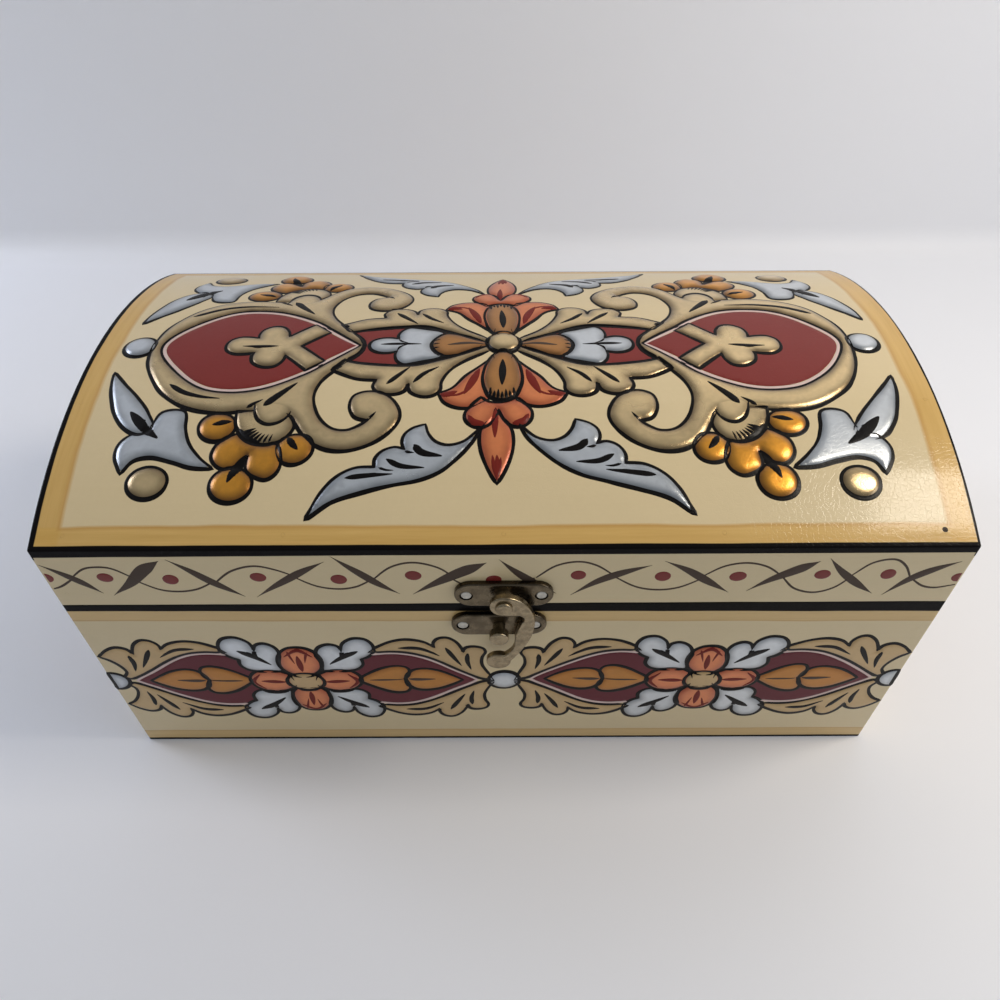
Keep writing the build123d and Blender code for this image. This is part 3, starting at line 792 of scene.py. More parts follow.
lidPatches = dict(
    # copies names the mirrored quarters. base lifts a patch that lies on others. gaps are rounds without ink.
    lens=dict(paint="maroon", copies="x", height=0.12, rounding=0.5, loops=[acrossAxis([
        (8, 0), (9, 2), (20, 8), (30, 12.2), (40, 12.2), (50, 10.5), (55.5, 8.8, 1), (51.5, 4.2),
        (50, 0, 1)], 1)]),
    almond=dict(paint="maroon", copies="x", height=0.12, rounding=0.5, ink=False,
        loops=[acrossAxis(almondEdge, 1)]),
    scroll=dict(paint="gold", copies="x", height=0.85, rounding=2.6, gaps=[(79, 33.5, 6.2)],
        loops=[acrossAxis(scrollEdge, 1), acrossAxis(ringEdge, 1)]),
    band=dict(paint="gold", copies="xw", height=0.7, rounding=2.2, gaps=[(5.6, 2.1, 1.0)], loops=[[
        (6, 1, 1), (13, 4.6), (20, 8.5), (30, 12), (40, 12), (50, 10.5), (56.5, 8.8, 1), (60.5, 14, 1),
        (52, 18.6), (44.5, 19.5, 1), (45.4, 23), (43, 26), (38, 26.7), (34.5, 25), (33, 21.5, 1),
        (32, 25.5), (28.5, 27.5), (24.5, 27), (22, 24.5), (21.7, 21), (19.5, 16), (14, 9.5),
        (5.2, 3.2, 1)]]),
    trefoilSilver=dict(paint="silver", copies="x", height=0.7, rounding=2.2, loops=[acrossAxis([
        (26, 0), (24.3, 4.8), (21.4, 7.2, 1), (24, 8.8), (28, 10), (32, 11.2), (35, 11.7), (37.6, 9.6),
        (38.6, 6.2), (38.2, 3.9, 1), (41.5, 4.8), (45, 4.4), (47.6, 2.6), (48.4, 0)], 1)]),
    axisLeaf=dict(paint="leaf", copies="x", height=0.7, rounding=2.4, base=0.1, gaps=[(6, 0, 2.2)],
        loops=[acrossAxis([
        (5, 0), (7, 1.6), (12, 4), (17, 6.2), (20.8, 6.9), (24, 4.6), (25.8, 0)], 1)]),
    trefoilGold=dict(paint="gold", copies="x", height=0.75, rounding=2.3, loops=[acrossAxis([
        (74.5, 0, 1), (64.4, 8.6, 1), (70.4, 13.9, 1), (79.5, 5.6, 1), (80.2, 9), (82.6, 12), (86.5, 12.4),
        (90.2, 10), (91, 6.3), (90.6, 4.6, 1), (94, 5.3), (98, 5.2), (101.2, 3), (102, 0)], 1)]),
    petalSide=dict(paint="copper", copies="xw", height=0.6, rounding=2.2, loops=[[
        (3.6, 7, 1), (8, 12.4), (12.6, 17.6), (17.2, 23.6), (22.2, 26.2, 1), (20, 30), (14.5, 32.4),
        (9.2, 31.8), (4.4, 28.6, 1), (4, 23.5), (3.6, 16), (3, 10)]]),
    petalPoint=dict(paint="copper", copies="w", group="point", height=0.6, rounding=2.4, loops=[acrossAxis([
        (0, 33.5, 1), (2, 37.6), (4.9, 42), (5.7, 47), (5.4, 51), (3.8, 56.5), (1.6, 61), (0, 63.6, 1)],
        0)]),
    lobes=dict(paint="copper", copies="w", group="drop", height=0.7, rounding=2.4, base=0.1,
        loops=[acrossAxis([
        (0, 30.6), (3.4, 30), (5.8, 28.6, 1), (9, 31.8), (11.2, 35), (10.8, 38.4), (7.5, 40.9), (4.4, 40.5),
        (2, 38), (0, 33.4, 1)], 0)]),
    petalGold=dict(paint="leaf", copies="w", height=0.6, rounding=2.6, base=0.5, loops=[acrossAxis([
        (0, 4.2), (3, 5.6), (5, 9), (6.1, 14), (6.5, 19), (5.8, 23.8), (4, 27.8), (0, 29.4)], 0)]),
    boss=dict(paint="gold", copies="", height=0.9, rounding=4.0, base=0.7,
        loops=[oval(0.2, -1.2, 6.3, 5.7)]),
    fan=dict(paint="gold", copies="xw", group="berries", height=0.6, rounding=2.2, gaps=[(80, 33, 8.2)],
        loops=[[
        (90.6, 34, 1), (89.9, 39), (88, 43), (84, 46.8), (79, 48), (74, 46.5), (71.3, 43), (70.7, 40.5),
        (72, 36), (76, 34.5), (84, 33.5)]]),
    tongue=dict(paint="gold", copies="xw", height=0.54, rounding=2.6, base=0.3, ink=False, loops=[[
        (85.2, 29.5), (84.6, 34.5), (82.6, 38.2), (79.2, 40.2), (75.8, 39.5), (73.2, 37.2), (71.6, 33),
        (74, 27), (80, 24.5)]]),
    berryA=dict(paint="amber", copies="xw", group="berries", height=0.95, rounding=3.6,
        loops=[oval(96.4, 40.6, 6.4, 5.5)]),
    berryE=dict(paint="amber", copies="xw", group="berries", height=0.95, rounding=3.6,
        loops=[oval(69, 50.3, 6.1, 5.9)]),
    berryPair=dict(paint="amber", copies="xw", group="berries", height=0.95, rounding=3.8, loops=[[
        (88.9, 43.6, 1), (92.6, 45.4), (95.6, 48.5), (96.3, 52.2), (94.8, 55.2), (92, 57), (88.8, 56.4),
        (86, 53.9), (84.3, 52, 1), (84.2, 57.8), (80.8, 60.6), (77.6, 61.4), (74.6, 59.4), (73.2, 55.9),
        (74, 51), (75.6, 47.8, 1), (79, 48.6), (83, 47.8), (86.5, 45.8)]]),
    berryD=dict(paint="amber", copies="xw", group="berries", height=1.0, rounding=3.8, base=0.1,
        loops=[oval(88.8, 63.4, 6.7, 6.5)]),
    leafSilver=dict(paint="silver", copies="xw", group="cornerLeaf", height=0.6, rounding=2.2, loops=[[
        (138, 15, 1), (133, 21), (127, 28), (121.5, 35), (118.5, 41), (122, 44), (127.5, 42), (132.5, 36),
        (135.5, 28), (137.3, 21)]]),
    tulip=dict(paint="silver", copies="xw", group="corner", height=0.65, rounding=2.3, gaps=[(120, 43, 3.2)],
        loops=[[
        (108.5, 34.7), (112, 33.7), (116.5, 35), (118.5, 39.5), (120, 43), (125, 44.5), (128, 48.5),
        (128, 53), (125, 59, 1), (122, 54.5), (117, 53), (110, 54.5), (103, 56.5), (95.5, 57, 1),
        (101, 52.5), (105.5, 47), (107.5, 41)]]),
    discSilver=dict(paint="silver", copies="x", height=0.8, rounding=3.0, base=0.2,
        loops=[oval(133, 0, 5.7, 5.7)]),
    discGold=dict(paint="gold", copies="xw", group="disc", height=0.8, rounding=3.0,
        loops=[oval(116, 63.1, 6.2, 5.4)]),
    acanthus=dict(paint="silver", copies="xw", group="acanthus", height=0.65, rounding=2.3, loops=[[
        (7, 41.5, 1), (10, 47), (15, 53), (20, 57.5), (27, 61), (35, 63), (45, 65.7), (55, 69.3),
        (62.5, 75.3, 1), (58, 66.3), (53, 60.5), (47.5, 57.3), (41.3, 56.7, 1), (41.3, 53.3), (39.3, 50.3),
        (35.5, 48.8), (32, 49.6, 1), (33, 47), (32.5, 44), (30, 41.5), (25.7, 39.8, 1), (24.5, 43.5),
        (22, 46.7), (18, 48.2), (12.5, 46.8)]]),
)
lidStrokes = [
    # paint, copies, group, width, where along it is widest, points
    ("ink", "w", "", 3.0, 0.45, [(0, 9.5), (0.1, 16), (0, 23)]),
    ("flame", "xw", "", 3.4, 0.45, [(8.2, 14), (9.6, 19), (11.4, 23.5), (13, 26.8)]),
    ("flame", "xw", "", 1.2, 0.4, [(11, 24.5), (15, 27), (19.5, 27.6)]),
    ("flame", "xw", "", 3.2, 0.75, [(15.5, 25.5), (18.5, 26.8), (21.5, 26.6)]),
    ("flame", "w", "point", 2.6, 0.45, [(0, 33.6), (-0.4, 39.5), (-0.6, 46.2)]),
    ("flame", "w", "point", 1.7, 0.45, [(-1.6, 53.5), (-1, 58), (0, 62.5)]),
    ("flame", "w", "point", 2.2, 0.45, [(0, 53.5), (0.2, 58), (0, 62.5)]),
    ("flame", "w", "point", 1.7, 0.45, [(1.4, 54.5), (0.8, 58.5), (0, 62.5)]),
    ("flame", "xw", "drop", 3.0, 0.5, [(10.2, 36.2), (8.6, 39), (4.6, 39.8)]),
    ("umber", "x", "", 1.7, 0.6, [(7.5, 0.3), (13, -0.2), (20, 0.8)]),
    ("ink", "x", "", 1.8, 0.35, [(44.5, 0.2), (38, 0), (29.5, 0.2)]),
    ("ink", "xw", "", 0.9, 0.4, [(38.4, 4.0), (37.2, 1.8), (34.5, 0.5)]),
    ("ink", "xw", "", 2.2, 0.3, [(40.6, 22.3), (37, 18.5), (32.5, 13.8)]),
    ("ink", "xw", "", 2.0, 0.3, [(31.2, 21.6), (27.6, 17.4), (22.5, 13.8)]),
    ("ink", "x", "", 2.0, 0.4, [(82.5, 0.9), (89, 1.4), (95.5, 1.4)]),
    ("ink", "xw", "", 1.6, 0.5, [(64.6, 10.2), (66.4, 11.4), (68, 12.6)]),
    ("ink", "xw", "", 2.0, 0.5, [(57.4, 12.2), (59.2, 13), (61, 13.6)]),
    ("ink", "back", "", 2.2, 0.12, [(119.5, 20.2), (110, 25.6), (100, 28), (87.5, 27.4)]),
    ("ink", "left", "", 2.4, 0.2, [(116.5, 22.4), (110.6, 26.2), (104, 28.2), (97.5, 28.8)]),
    ("ink", "xw", "", 3.2, 0.2, [(81.6, 31.8), (77.5, 27), (72, 21.2)]),
    ("ink", "xw", "", 1.6, 0.3, [(87.5, 32.6), (85, 30.6), (82.4, 28.8)]),
    ("ink", "xw", "", 1.3, 0.25, [(47.5, 39.6), (45.2, 37.8), (43.4, 35.6)]),
    ("ink", "xw", "", 1.8, 0.5, [(84.8, 30.5), (84.2, 34.5), (82.4, 38.2), (79.2, 40.1), (75.9, 39.4),
        (73.5, 37.2), (72.2, 34.2)]),
    ("ink", "xw", "berries", 2.4, 0.5, [(91.4, 38.7), (94.6, 39.5), (98, 40.3)]),
    ("ink", "xw", "berries", 2.8, 0.45, [(71.8, 45.6), (70, 48.6), (67.6, 51.2)]),
    ("ink", "xw", "berries", 3.4, 0.45, [(84.6, 52), (86.8, 56.4), (88.6, 60), (89.8, 63)]),
    ("ink", "xw", "berries", 2.4, 0.6, [(80.6, 47.6), (85.2, 45.4), (88.4, 41.6)]),
    ("ink", "xw", "cornerLeaf", 4.2, 0.45, [(127.6, 34.6), (124, 38.4), (120, 42.4), (115.6, 45.8)]),
    ("ink", "xw", "acanthus", 3.0, 0.22, [(29, 48), (26.4, 50.8), (19.5, 52.4)]),
    ("ink", "xw", "acanthus", 2.4, 0.25, [(37.8, 53.6), (33, 56), (25, 56.6)]),
    ("ink", "xw", "acanthus", 2.2, 0.25, [(50.5, 61.2), (44, 60.2), (35, 59.2)]),
    ("ink", "xw", "acanthus", 1.1, 0.2, [(40, 57), (37.4, 57.8), (34.8, 57.8)]),
    ("ink", "xw", "acanthus", 1.1, 0.2, [(32, 50.2), (30.4, 50.8), (28.6, 51)]),
]
for w in (-2.4, 0, 2.4):
    lidStrokes.append(("ink", "x", "", 1.0, 0.25, [(25.4, w), (22.8, w)]))
for k in range(7):
    # Short comb strokes at the edge of the fan
    turn = radians(100 - 10.5 * k)
    reach = 6.9 - 0.33 * k
    lidStrokes.append(("ink", "xw", "berries", 0.9 + 0.17 * k, 0.15, [
        (79.6 + 9.6 * cos(turn), 38.4 + 9.2 * sin(turn)),
        (79.4 + reach * cos(turn + 0.2), 38.2 + (reach - 0.2) * sin(turn + 0.2))]))
for k in range(7):
    # The same at the top of the upright petals
    u = -4.5 + 1.5 * k
    lidStrokes.append(("ink", "w", "", 1.25, 0.25, [
        (u * 0.92, 29.2 - 0.07 * u * u), (u * 0.82, 25.2 - 0.05 * u * u + k % 2)]))
ringPearl = dict(width=1.4, share=0.42)  # share is how far from the almond to the ring it runs
nudges = {  # how far a group of the pattern drifts in one quarter, 0 for both sides
    ("corner", 1, -1): (0, -0.9), ("cornerLeaf", 1, -1): (-0.8, -3.4), ("berries", 1, -1): (0, 0.5),
    ("drop", 0, -1): (-1.2, 0), ("point", 0, -1): (-2.2, 0.3), ("acanthus", 1, -1): (-0.9, 0.9),
    ("acanthus", -1, -1): (-0.9, -0.5), ("corner", -1, 1): (0.8, 0.6), ("corner", 1, 1): (-0.6, 0.9),
    ("cornerLeaf", -1, 1): (0.8, 0.6), ("cornerLeaf", 1, 1): (-0.6, 0.9), ("berries", -1, 1): (0.5, 0.5),
    ("disc", -1, -1): (0, 0.8),
}


def shiftOf(group, a, b):
    return nudges.get((group, a, b), nudges.get((group, 0, b), (0, 0)))


lidOrnament = Ornament("lidTop", "lid", onDome, 1.0)
for item in lidPatches.values():
    for a, b in copySigns(item["copies"]):
        shift = shiftOf(item.get("group", ""), a, b)
        loops = [smoothLine(reflected(loop, a, b, shift)) for loop in item["loops"]]
        gaps = [(a * u + shift[0], b * w + shift[1], r) for u, w, r in item.get("gaps", [])]
        if "w" not in item["copies"]:
            gaps += [(u, -w, r) for u, w, r in gaps]
        lidOrnament.patch(item["paint"], loops, item["height"], item["rounding"], item.get("base", 0.0),
                          item.get("ink", True), gaps)
for a in (1, -1):
    # A pearl line between the almond and the ring around it
    almond, ring = (smoothLine(reflected(acrossAxis(edge, 1), a, 1)) for edge in (almondEdge, ringEdge))
    nearest = np.hypot(*(almond[:, None] - ring[None]).transpose(2, 0, 1)).argmin(1)
    middle = almond + ringPearl["share"] * (ring[nearest] - almond)
    lidOrnament.ribbon("pearl", middle, np.full(len(almond), ringPearl["width"]), True)
for paint, copies, group, width, fat, points in lidStrokes:
    for a, b in copySigns(copies):
        lidOrnament.stroke(paint, reflected(points, a, b, shiftOf(group, a, b)), width, fat=fat)
lidOrnament.drawOutlines()
lidOrnament.finish()
print("lid ornament laid")

# The lid's guilloche: dots between crossing strokes, in millimetres along the wall and above the table
guillocheDots = [-149.6, -129.4, -108.8, -80.6, -54, -29, -3.4, 24, 52, 76.4, 103.6, 125.2, 149.2]
thickStrokes = [
    [(-149.6, 116), (-143, 110.8), (-137.5, 105.5), (-133, 100.2)],
    [(-130, 99), (-123, 105), (-116, 112.6), (-110.2, 116.8)],
    [(-108, 117.4), (-101.5, 112), (-94, 105), (-86.8, 98.9)],
    [(-83, 98.4), (-74, 105.6), (-66, 111.4), (-57, 116.3)],
    [(-54.6, 119), (-49, 112.5), (-42, 105.5), (-34.2, 99.6)],
    [(-30, 99.4), (-22, 105.4), (-14, 111.4), (-6, 116)],
    [(-2, 117.5), (4, 111), (10, 105), (17, 99.4)],
    [(22, 98.4), (31, 105.4), (40, 110.6), (48, 114)],
    [(51.6, 116), (60, 111.4), (68, 105.6), (75, 100)],
    [(80.6, 100.4), (87, 106), (94, 111), (101.2, 115.6)],
    [(104, 117), (110, 109.6), (116, 104), (123, 99)],
    [(126.6, 98.4), (133, 106), (140, 111.6), (146.8, 115.8)],
]
thinArcs = [
    [(-149.6, 103.6), (-146.2, 104.4), (-141.6, 107.6)],
    [(-139.4, 110), (-135, 113.6), (-131, 114.4), (-126, 113.6), (-121.6, 109.6)],
    [(-119.4, 106.6), (-114, 102.6), (-108, 101.6), (-101.5, 102.8), (-97, 105.4)],
    [(-93.6, 107), (-88, 112.4), (-80.6, 115), (-74, 113), (-69.6, 110.4)],
    [(-67, 108), (-61.5, 103.8), (-55, 102.3), (-49, 103.4), (-44, 106.4)],
    [(-41, 108.4), (-35.5, 113.6), (-28.6, 115.8), (-21, 113.4), (-17.4, 109.6)],
    [(-16, 107), (-10, 102.4), (-3, 101.4), (3, 103), (8, 106.6)],
    [(12, 109.6), (17, 114), (24, 115.8), (30, 113.8), (35, 109.6)],
    [(38, 106.8), (44, 102.6), (51, 101.4), (58, 102.8), (64, 106.6)],
    [(66.8, 109.8), (71.5, 113.6), (78, 115.2), (84, 113.4), (89, 109)],
    [(92, 106), (96.5, 101), (103, 98.9), (108.5, 101.4), (112, 106)],
    [(114.6, 110), (118.5, 114.4), (125, 116), (129.6, 113), (133, 107.6)],
    [(135.6, 105.4), (139, 102.8), (143, 101.9), (149.2, 103)],
]
guilloche = dict(
    dotHeight=108.2,
    dotDrift=0.9,  # how far up or down a dot may lie
    dotSize=(2.75, 2.5),
    dotRelief=(0.1, 0.6),  # its height, and the width of its rounded edge
    dotEnd=149.3,  # how far along the wall the dots may reach, and likewise the lines
    arcEnd=149.2,
    strokeEnd=148.9,
    arcGrowth=0.35,  # how far each arc is drawn out at its ends, as a share of its last step
    arcWidth=1.1,
    arcThin=0.6,  # how thin a line gets at its ends, as a share of its width
    strokeThin=0.02,
    strokeTaper=1.25,
)
thickBrush = [(3.6, 0.55), (5.2, 0.72), (3.6, 0.55), (3.8, 0.55)]  # widths, and where along each is widest
for label, surface, seed in (("lidFront", onFront, 2.0), ("lidBack", onBack, 4.0)):
    wall = Ornament(label, "lid", surface, seed)
    for dot in guillocheDots:
        height = guilloche["dotHeight"] + guilloche["dotDrift"] * sin(dot * 0.37)
        edge = smoothLine(oval(dot, height, *guilloche["dotSize"], 10), step=0.7)
        edge[:, 0] = np.clip(edge[:, 0], -guilloche["dotEnd"], guilloche["dotEnd"])
        wall.patch("maroon", [edge], *guilloche["dotRelief"], outline=False)
    for points in thinArcs:
        arc = np.array(points)
        arc[0] += (arc[0] - arc[1]) * guilloche["arcGrowth"]
        arc[-1] += (arc[-1] - arc[-2]) * guilloche["arcGrowth"]
        arc[:, 0] = np.clip(arc[:, 0], -guilloche["arcEnd"], guilloche["arcEnd"])
        wall.stroke("umber", arc, guilloche["arcWidth"], thin=guilloche["arcThin"])
    for index, points in enumerate(thickStrokes):
        width, fat = thickBrush[index % len(thickBrush)]
        points = np.clip(points, -guilloche["strokeEnd"], guilloche["strokeEnd"])
        wall.stroke("umber", points, width, guilloche["strokeThin"], fat, guilloche["strokeTaper"])
    wall.finish()
print("guilloche drawn")

# The base's ornament: one flower unit, in millimetres from its middle
unitPatches = [
    # the lens in the darker maroon, darkened partly as painted shade
    dict(paint="plum", copies="x", height=0.12, rounding=0.5, ink=False, loops=[acrossAxis([
        (15, 0), (17, 8), (23, 15.5), (28, 16.8), (33.5, 17.3), (39, 16.5), (44, 14.5), (50, 10.8),
        (56, 6.3), (62, 1.8), (64, 0, 1)], 1)]),
    dict(paint="tan", copies="xw", height=0.4, rounding=1.9, tip=[(60.6, 18, 1), (66.4, 1.5)], loops=[[
        (25.8, 19.4, 1), (30, 22.6), (35, 25.2), (40.4, 26), (46, 24.4), (49.9, 20.8, 1), (50, 23.9),
        (51.9, 26.5), (54.8, 27), (57.9, 24.5), (59.8, 20.6), (60.6, 18, 1), (61.9, 20.7), (64.8, 21.6),
        (67.9, 20.7), (68.7, 18.6), (67.3, 15), (66.9, 10.6), (68.5, 5.6), (71, 0.5, 1), (66.4, 1.5),
        (63.4, 3.4), (57.3, 8), (51.2, 12.6), (44.9, 16.4), (39.4, 18.6), (33.6, 19.4), (29, 19.2)]]),
    dict(paint="orange", copies="x", height=0.45, rounding=2.2, loops=[acrossAxis([
        (21, 0), (25, 4.2), (30.4, 7.7), (34.6, 8.9), (37.7, 8.2), (38.9, 6), (38.4, 3), (37, 0, 1)], 1)]),
    dict(paint="orange", copies="x", height=0.4, rounding=2.0, loops=[acrossAxis([
        (37.8, 0, 1), (38.6, 3.4), (41, 6.2), (45, 7.2), (50.5, 5.9), (55.4, 2.9), (59, 0, 1)], 1)]),
    dict(paint="silver", copies="xw", height=0.55, rounding=2.0, loops=[[
        (7.4, 7.2, 1), (7.9, 13), (6.8, 18.4), (8.3, 22.2), (11.5, 24), (14.2, 23), (15.5, 20, 1),
        (16.8, 24.8), (20.6, 27.7), (24.8, 27), (27.1, 23.6), (27.1, 19.4), (24.8, 16), (22.2, 14.3, 1),
        (22.5, 10.3), (20.4, 7.6), (16, 6.6), (11, 6.6)]]),
    dict(paint="copper", copies="x", height=0.6, rounding=2.2, base=0.1, loops=[acrossAxis([
        (4, 0), (4.8, 3.3), (8.4, 6.4), (13, 7.4), (17.4, 6.2), (20.4, 3.3), (21.3, 0)], 1)]),
    dict(paint="copper", copies="w", height=0.6, rounding=2.2, base=0.1, loops=[acrossAxis([
        (0, 4), (3.4, 4.7), (6.7, 8.4), (7.6, 13), (6.4, 18), (3.3, 21.2), (0, 21.9)], 0)]),
    dict(paint="tan", copies="", height=0.5, rounding=2.6, base=0.55, loops=[oval(0, 0, 6.7, 5.9)]),
]
outerTip = [(60.6, 18, 1), (62.2, 21.2), (65.6, 22.3), (69.6, 20.5), (73.2, 17, 1), (70, 14.8), (67.2, 10.6),
            (66.4, 6.2), (68, 3, 1), (66.6, 1.8)]
unitStrokes = [
    # paint, copies, width, where along it is widest, points
    ("flame", "x", 2.6, 0.45, [(7.4, 0.2), (12, 0), (17, -0.2)]),
    ("flame", "w", 2.6, 0.45, [(0.1, 7.4), (0, 12), (-0.2, 17.4)]),
    ("flame", "x", 1.8, 0.5, [(16.4, 5.2), (20, 0.4), (16.6, -5)]),
    ("flame", "w", 1.8, 0.5, [(5.2, 16.6), (0.4, 20.6), (-5, 16.8)]),
    ("flame", "w", 1.2, 0.2, [(-3.4, 20), (-2.6, 16.4), (-1.7, 12.6)]),
    ("flame", "w", 1.2, 0.2, [(3.6, 19.6), (2.7, 16.4), (2, 13)]),
    ("ink", "xw", 3.0, 0.3, [(21.6, 20.4), (16.4, 16.8), (10.6, 11.6)]),
    ("ink", "xw", 1.8, 0.25, [(15.4, 20.6), (15.6, 18), (14.2, 14.6)]),
    ("umber", "x", 1.3, 0.4, [(24.5, 0), (30, 0.1), (36.6, 0)]),
    ("umber", "x", 2.2, 0.3, [(38.6, -0.2), (43, -0.1), (49, -0.6)]),
    ("ink", "xw", 2.3, 0.3, [(36.8, 21.6), (44.4, 20.9), (51.4, 16.2)]),
    ("ink", "xw", 2.3, 0.3, [(53.9, 21.4), (56.5, 16), (59.6, 10)]),
    ("ink", "xw", 2.2, 0.3, [(62.4, 17.8), (62, 13), (63, 7.6)]),
]
unitPlace = dict(spacing=75.2, height=46.3, discRadius=5.5, lastDisc=148.5)
lensPearl = dict(width=1.3, out=0.6, start=26)  # start is how far from the unit's middle it begins
wholeDisc = dict(height=0.6, rounding=2.6, base=0.2)
halfDisc = dict(height=0.5, rounding=2.2)


def layUnit(ornament, along, ends):
    # ends holds the sides, 1 or -1, where the unit's last leaf curls outwards instead of meeting another.
    z = unitPlace["height"]
    for item in unitPatches:
        for a, b in copySigns(item["copies"]):
            loops = []
            for loop in item["loops"]:
                if a in ends and item.get("tip"):
                    first, last = (loop.index(point) for point in item["tip"])
                    loop = loop[:first] + outerTip + loop[last + 1:]
                loops.append(smoothLine(reflected(loop, a, b, (along, z)), step=0.8))
            ornament.patch(item["paint"], loops, item["height"], item["rounding"], item.get("base", 0.0),
                           item.get("ink", True))
    for a in (1, -1):
        # A pearl line round the far part of the lens
        lens = smoothLine(reflected(unitPatches[0]["loops"][0], a, 1, (along, z)), step=0.8)
        near = np.abs(lens[:, 0] - along) < lensPearl["start"]
        order = np.roll(np.arange(len(lens)), -int(np.where(near & ~np.roll(near, -1))[0][0]) - 1)
        order = order[~near[order]]
        line = (lens + lensPearl["out"] * outwardOf(lens))[order]
        ornament.ribbon("pearl", line, np.full(len(order), lensPearl["width"]), False)
    for paint, copies, width, fat, points in unitStrokes:
        for a, b in copySigns(copies):
            ornament.stroke(paint, reflected(points, a, b, (along, z)), width, fat=fat)


def layDisc(ornament, along, half=0):
    # A silver disc between units, or half of one at the edge of the face.
    z = unitPlace["height"]
    r = unitPlace["discRadius"]
    if half:
        turns = [pi * k / 8 for k in range(1, 8)]
        curve = [(along - half * r * sin(turn), z + r * cos(turn)) for turn in turns]
        edge = [(along, z + r, 1), *curve, (along, z - r, 1)]
        ornament.patch("silver", [smoothLine(edge, step=0.8)], **halfDisc)
    else:
        ornament.patch("silver", [smoothLine(oval(along, z, r + 0.5, r), step=0.8)], **wholeDisc)


for label, surface, seed in (("baseFront", onFront, 3.0), ("baseBack", onBack, 5.0)):
    face = Ornament(label, "base", surface, seed)
    for side in (-1, 1):
        layUnit(face, side * unitPlace["spacing"], [side])
        layDisc(face, side * unitPlace["lastDisc"], side)
    layDisc(face, 0.0)
    face.drawOutlines()
    face.finish()
for label, surface, seed in (("baseLeft", onLeftEnd, 6.0), ("baseRight", onRightEnd, 7.0)):
    face = Ornament(label, "base", surface, seed)
    layUnit(face, 0.0, [-1, 1])
    face.drawOutlines()
    face.finish()
print("base ornament laid")

# Metal fittings; the metal that lies further out than brightFrom, in millimetres, is brighter: partly polish
# from hands, partly painted light on the fronts, while the sides near the wall stay darker as painted shade
metals = dict(
    bronze=dict(tone="4E4538", dark="352C22", bright="BCAA8A", rough=0.24, brightFrom=84.6),
    zinc=dict(tone="A9A79F", dark="5C564C", bright="D9D6CC", rough=0.3, brightFrom=84.0),
)
tarnish = dict(size=300.0, clear=0.4, full=0.7, most=0.6, roughens=0.22)
brightening = dict(over=1.2, most=0.6)


def makeMetal(name, p):
    material, shader, place = newMaterial(name)
    depth = abs(newNode("ShaderNodeSeparateXYZ", {0: place}).at(1)) * 1000.0
    cloud = noise(place, tarnish["size"], 4.0, 0.6)
    spots = mapRange(cloud, tarnish["clear"], tarnish["full"], 0.0, tarnish["most"])
    tone = mixColour(spots, colour(p["tone"]), colour(p["dark"]))
    # Brighter further out from the wall: partly polish, partly painted light, with painted shade left on the
    # sides near the wall
    polishAndLight = mapRange(depth, p["brightFrom"], p["brightFrom"] + brightening["over"], 0.0, brightening["most"]) * (1.15 - spots)
    tone = mixColour(polishAndLight, tone, colour(p["bright"]))
    bump = bumpOf(noise(place, 1500.0, 3.0), 0.35, 0.0001)
    rough = spots * tarnish["roughens"] + p["rough"]
    fill(shader, {"Base Color": tone, "Roughness": rough, "Normal": bump, "Metallic": 1.0})
    return material


bronze = makeMetal("antiqueBronze", metals["bronze"])
zinc = makeMetal("zincNail", metals["zinc"])
for name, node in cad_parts.items():
    if "nails" in name:
        dress(node, zinc)
    elif "hinge" in name or "latch" in name:
        dress(node, bronze)
print("metal finished")

# Room: a pale table top that runs up into a pale wall; lengths in metres
room = dict(depthBehind=0.325, curve=0.02, curveSteps=8, halfWidth=1.6, front=-0.9, wallTop=1.5, sunk=0.0002,
            tint="EFF0F3", roughness=0.55)


def makeRoom():
    back, curve, steps = room["depthBehind"], room["curve"], room["curveSteps"]
    turns = [pi / 2 * k / steps for k in range(steps + 1)]
    profile = [(back - curve * (1 - sin(turn)), curve * (1 - cos(turn))) for turn in turns]
    profile = [(room["front"], 0.0), *profile, (back, room["wallTop"])]
    points = [(side * room["halfWidth"], y, z - room["sunk"]) for y, z in profile for side in (-1, 1)]
    faces = [(2 * k, 2 * k + 1, 2 * k + 3, 2 * k + 2) for k in range(len(profile) - 1)]
    material, shader, place = newMaterial("paleRoom")
    tree = shader.id_data
    soft = useGroup(mottle, Place=place, Colour=colour(room["tint"]), Amount=0.02, Size=4.0)
    fill(shader, {"Base Color": soft, "Roughness": room["roughness"]})
    # From behind or below, the camera sees through the room
    facing = newNode("ShaderNodeNewGeometry", {}, tree).at("Backfacing")
    seen = newNode("ShaderNodeLightPath", {}, tree).at("Is Camera Ray")
    clear = newNode("ShaderNodeBsdfTransparent", {}, tree)
    output = shader.outputs[0].links[0].to_node
    fill(output, {0: newNode("ShaderNodeMixShader", {0: facing * seen, 1: Wire(shader), 2: clear})})
    piece = newPiece("room", points, faces, material)


makeRoom()

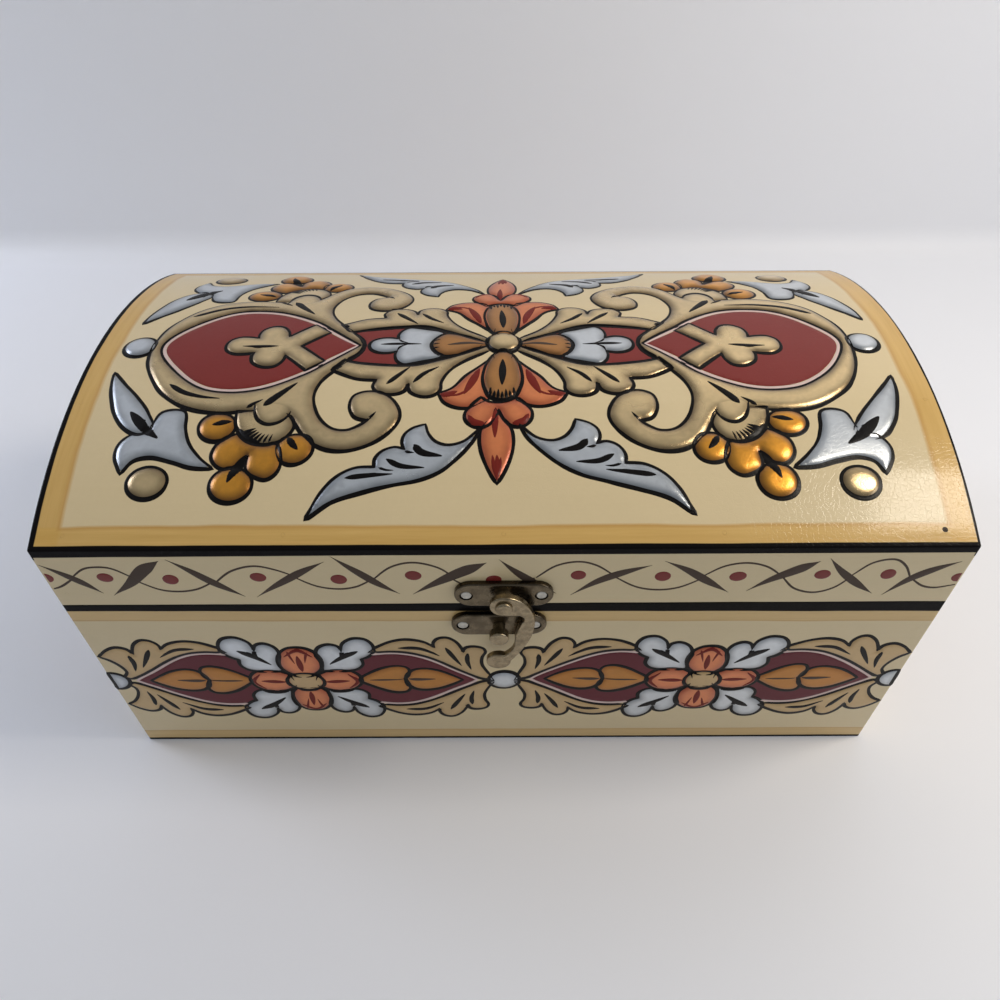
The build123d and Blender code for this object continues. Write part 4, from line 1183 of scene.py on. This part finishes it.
# Soft light from high on the right, with weak light from the left and the front
lamps = [
    dict(name="window", place=(0.507, -0.038, 0.664), aim=(0, 0, 0.1), size=(0.19, 0.26), power=2.6,
         tint="FFF4E4"),
    dict(name="doorway", place=(-0.8, 0.3, 0.45), aim=(-0.3, 0, 0), size=(0.5, 0.4), power=4.4,
         tint="E8EEFF"),
    dict(name="frontSky", place=(0.7, -0.28, 0.4), aim=(0, 0, 0.08), size=(0.4, 0.3), power=1.15,
         tint="EEF2FF"),
]
sky = dict(tint="E4EAF2", strength=0.34)


def makeLamps():
    for lamp in lamps:
        data = bpy.data.lights.new(lamp["name"], "AREA")
        data.shape = "RECTANGLE"
        data.size, data.size_y = lamp["size"]
        data.energy = lamp["power"]
        data.color = colour(lamp["tint"])[:3]
        holder = bpy.data.objects.new(lamp["name"], data)
        holder.location = lamp["place"]
        way = Vector(lamp["aim"]) - Vector(lamp["place"])
        holder.rotation_euler = way.to_track_quat("-Z", "Y").to_euler()
        bpy.context.scene.collection.objects.link(holder)
    world = bpy.data.worlds.new("room light")
    bpy.context.scene.world = world
    world.use_nodes = True
    fill(world.node_tree.nodes["Background"], {0: colour(sky["tint"]), 1: sky["strength"]})


makeLamps()
bpy.context.scene.view_settings.view_transform = "Standard"
print("room and lamps ready")

# Camera at the photograph's viewing angle
eye = dict(place=(-0.000823, -0.247683, 0.315125), yaw=-0.0943, pitch=46.0136, roll=-0.344, lens=29.054,
           sensor=36, nearest=0.01)


def makeCamera():
    yaw, pitch, roll = (radians(eye[k]) for k in ("yaw", "pitch", "roll"))
    forward = Vector((sin(yaw) * cos(pitch), cos(yaw) * cos(pitch), -sin(pitch)))
    right = Vector((cos(yaw), -sin(yaw), 0))
    up = right.cross(forward)
    across = right * cos(roll) + up * sin(roll)
    upright = up * cos(roll) - right * sin(roll)
    data = bpy.data.cameras.new("camera")
    data.lens = eye["lens"]
    data.sensor_width = eye["sensor"]
    data.sensor_fit = "HORIZONTAL"
    data.clip_start = eye["nearest"]
    holder = bpy.data.objects.new("camera", data)
    turn = Matrix((across, upright, -forward)).transposed()
    holder.matrix_world = Matrix.Translation(eye["place"]) @ turn.to_4x4()
    bpy.context.scene.collection.objects.link(holder)
    bpy.context.scene.camera = holder


makeCamera()
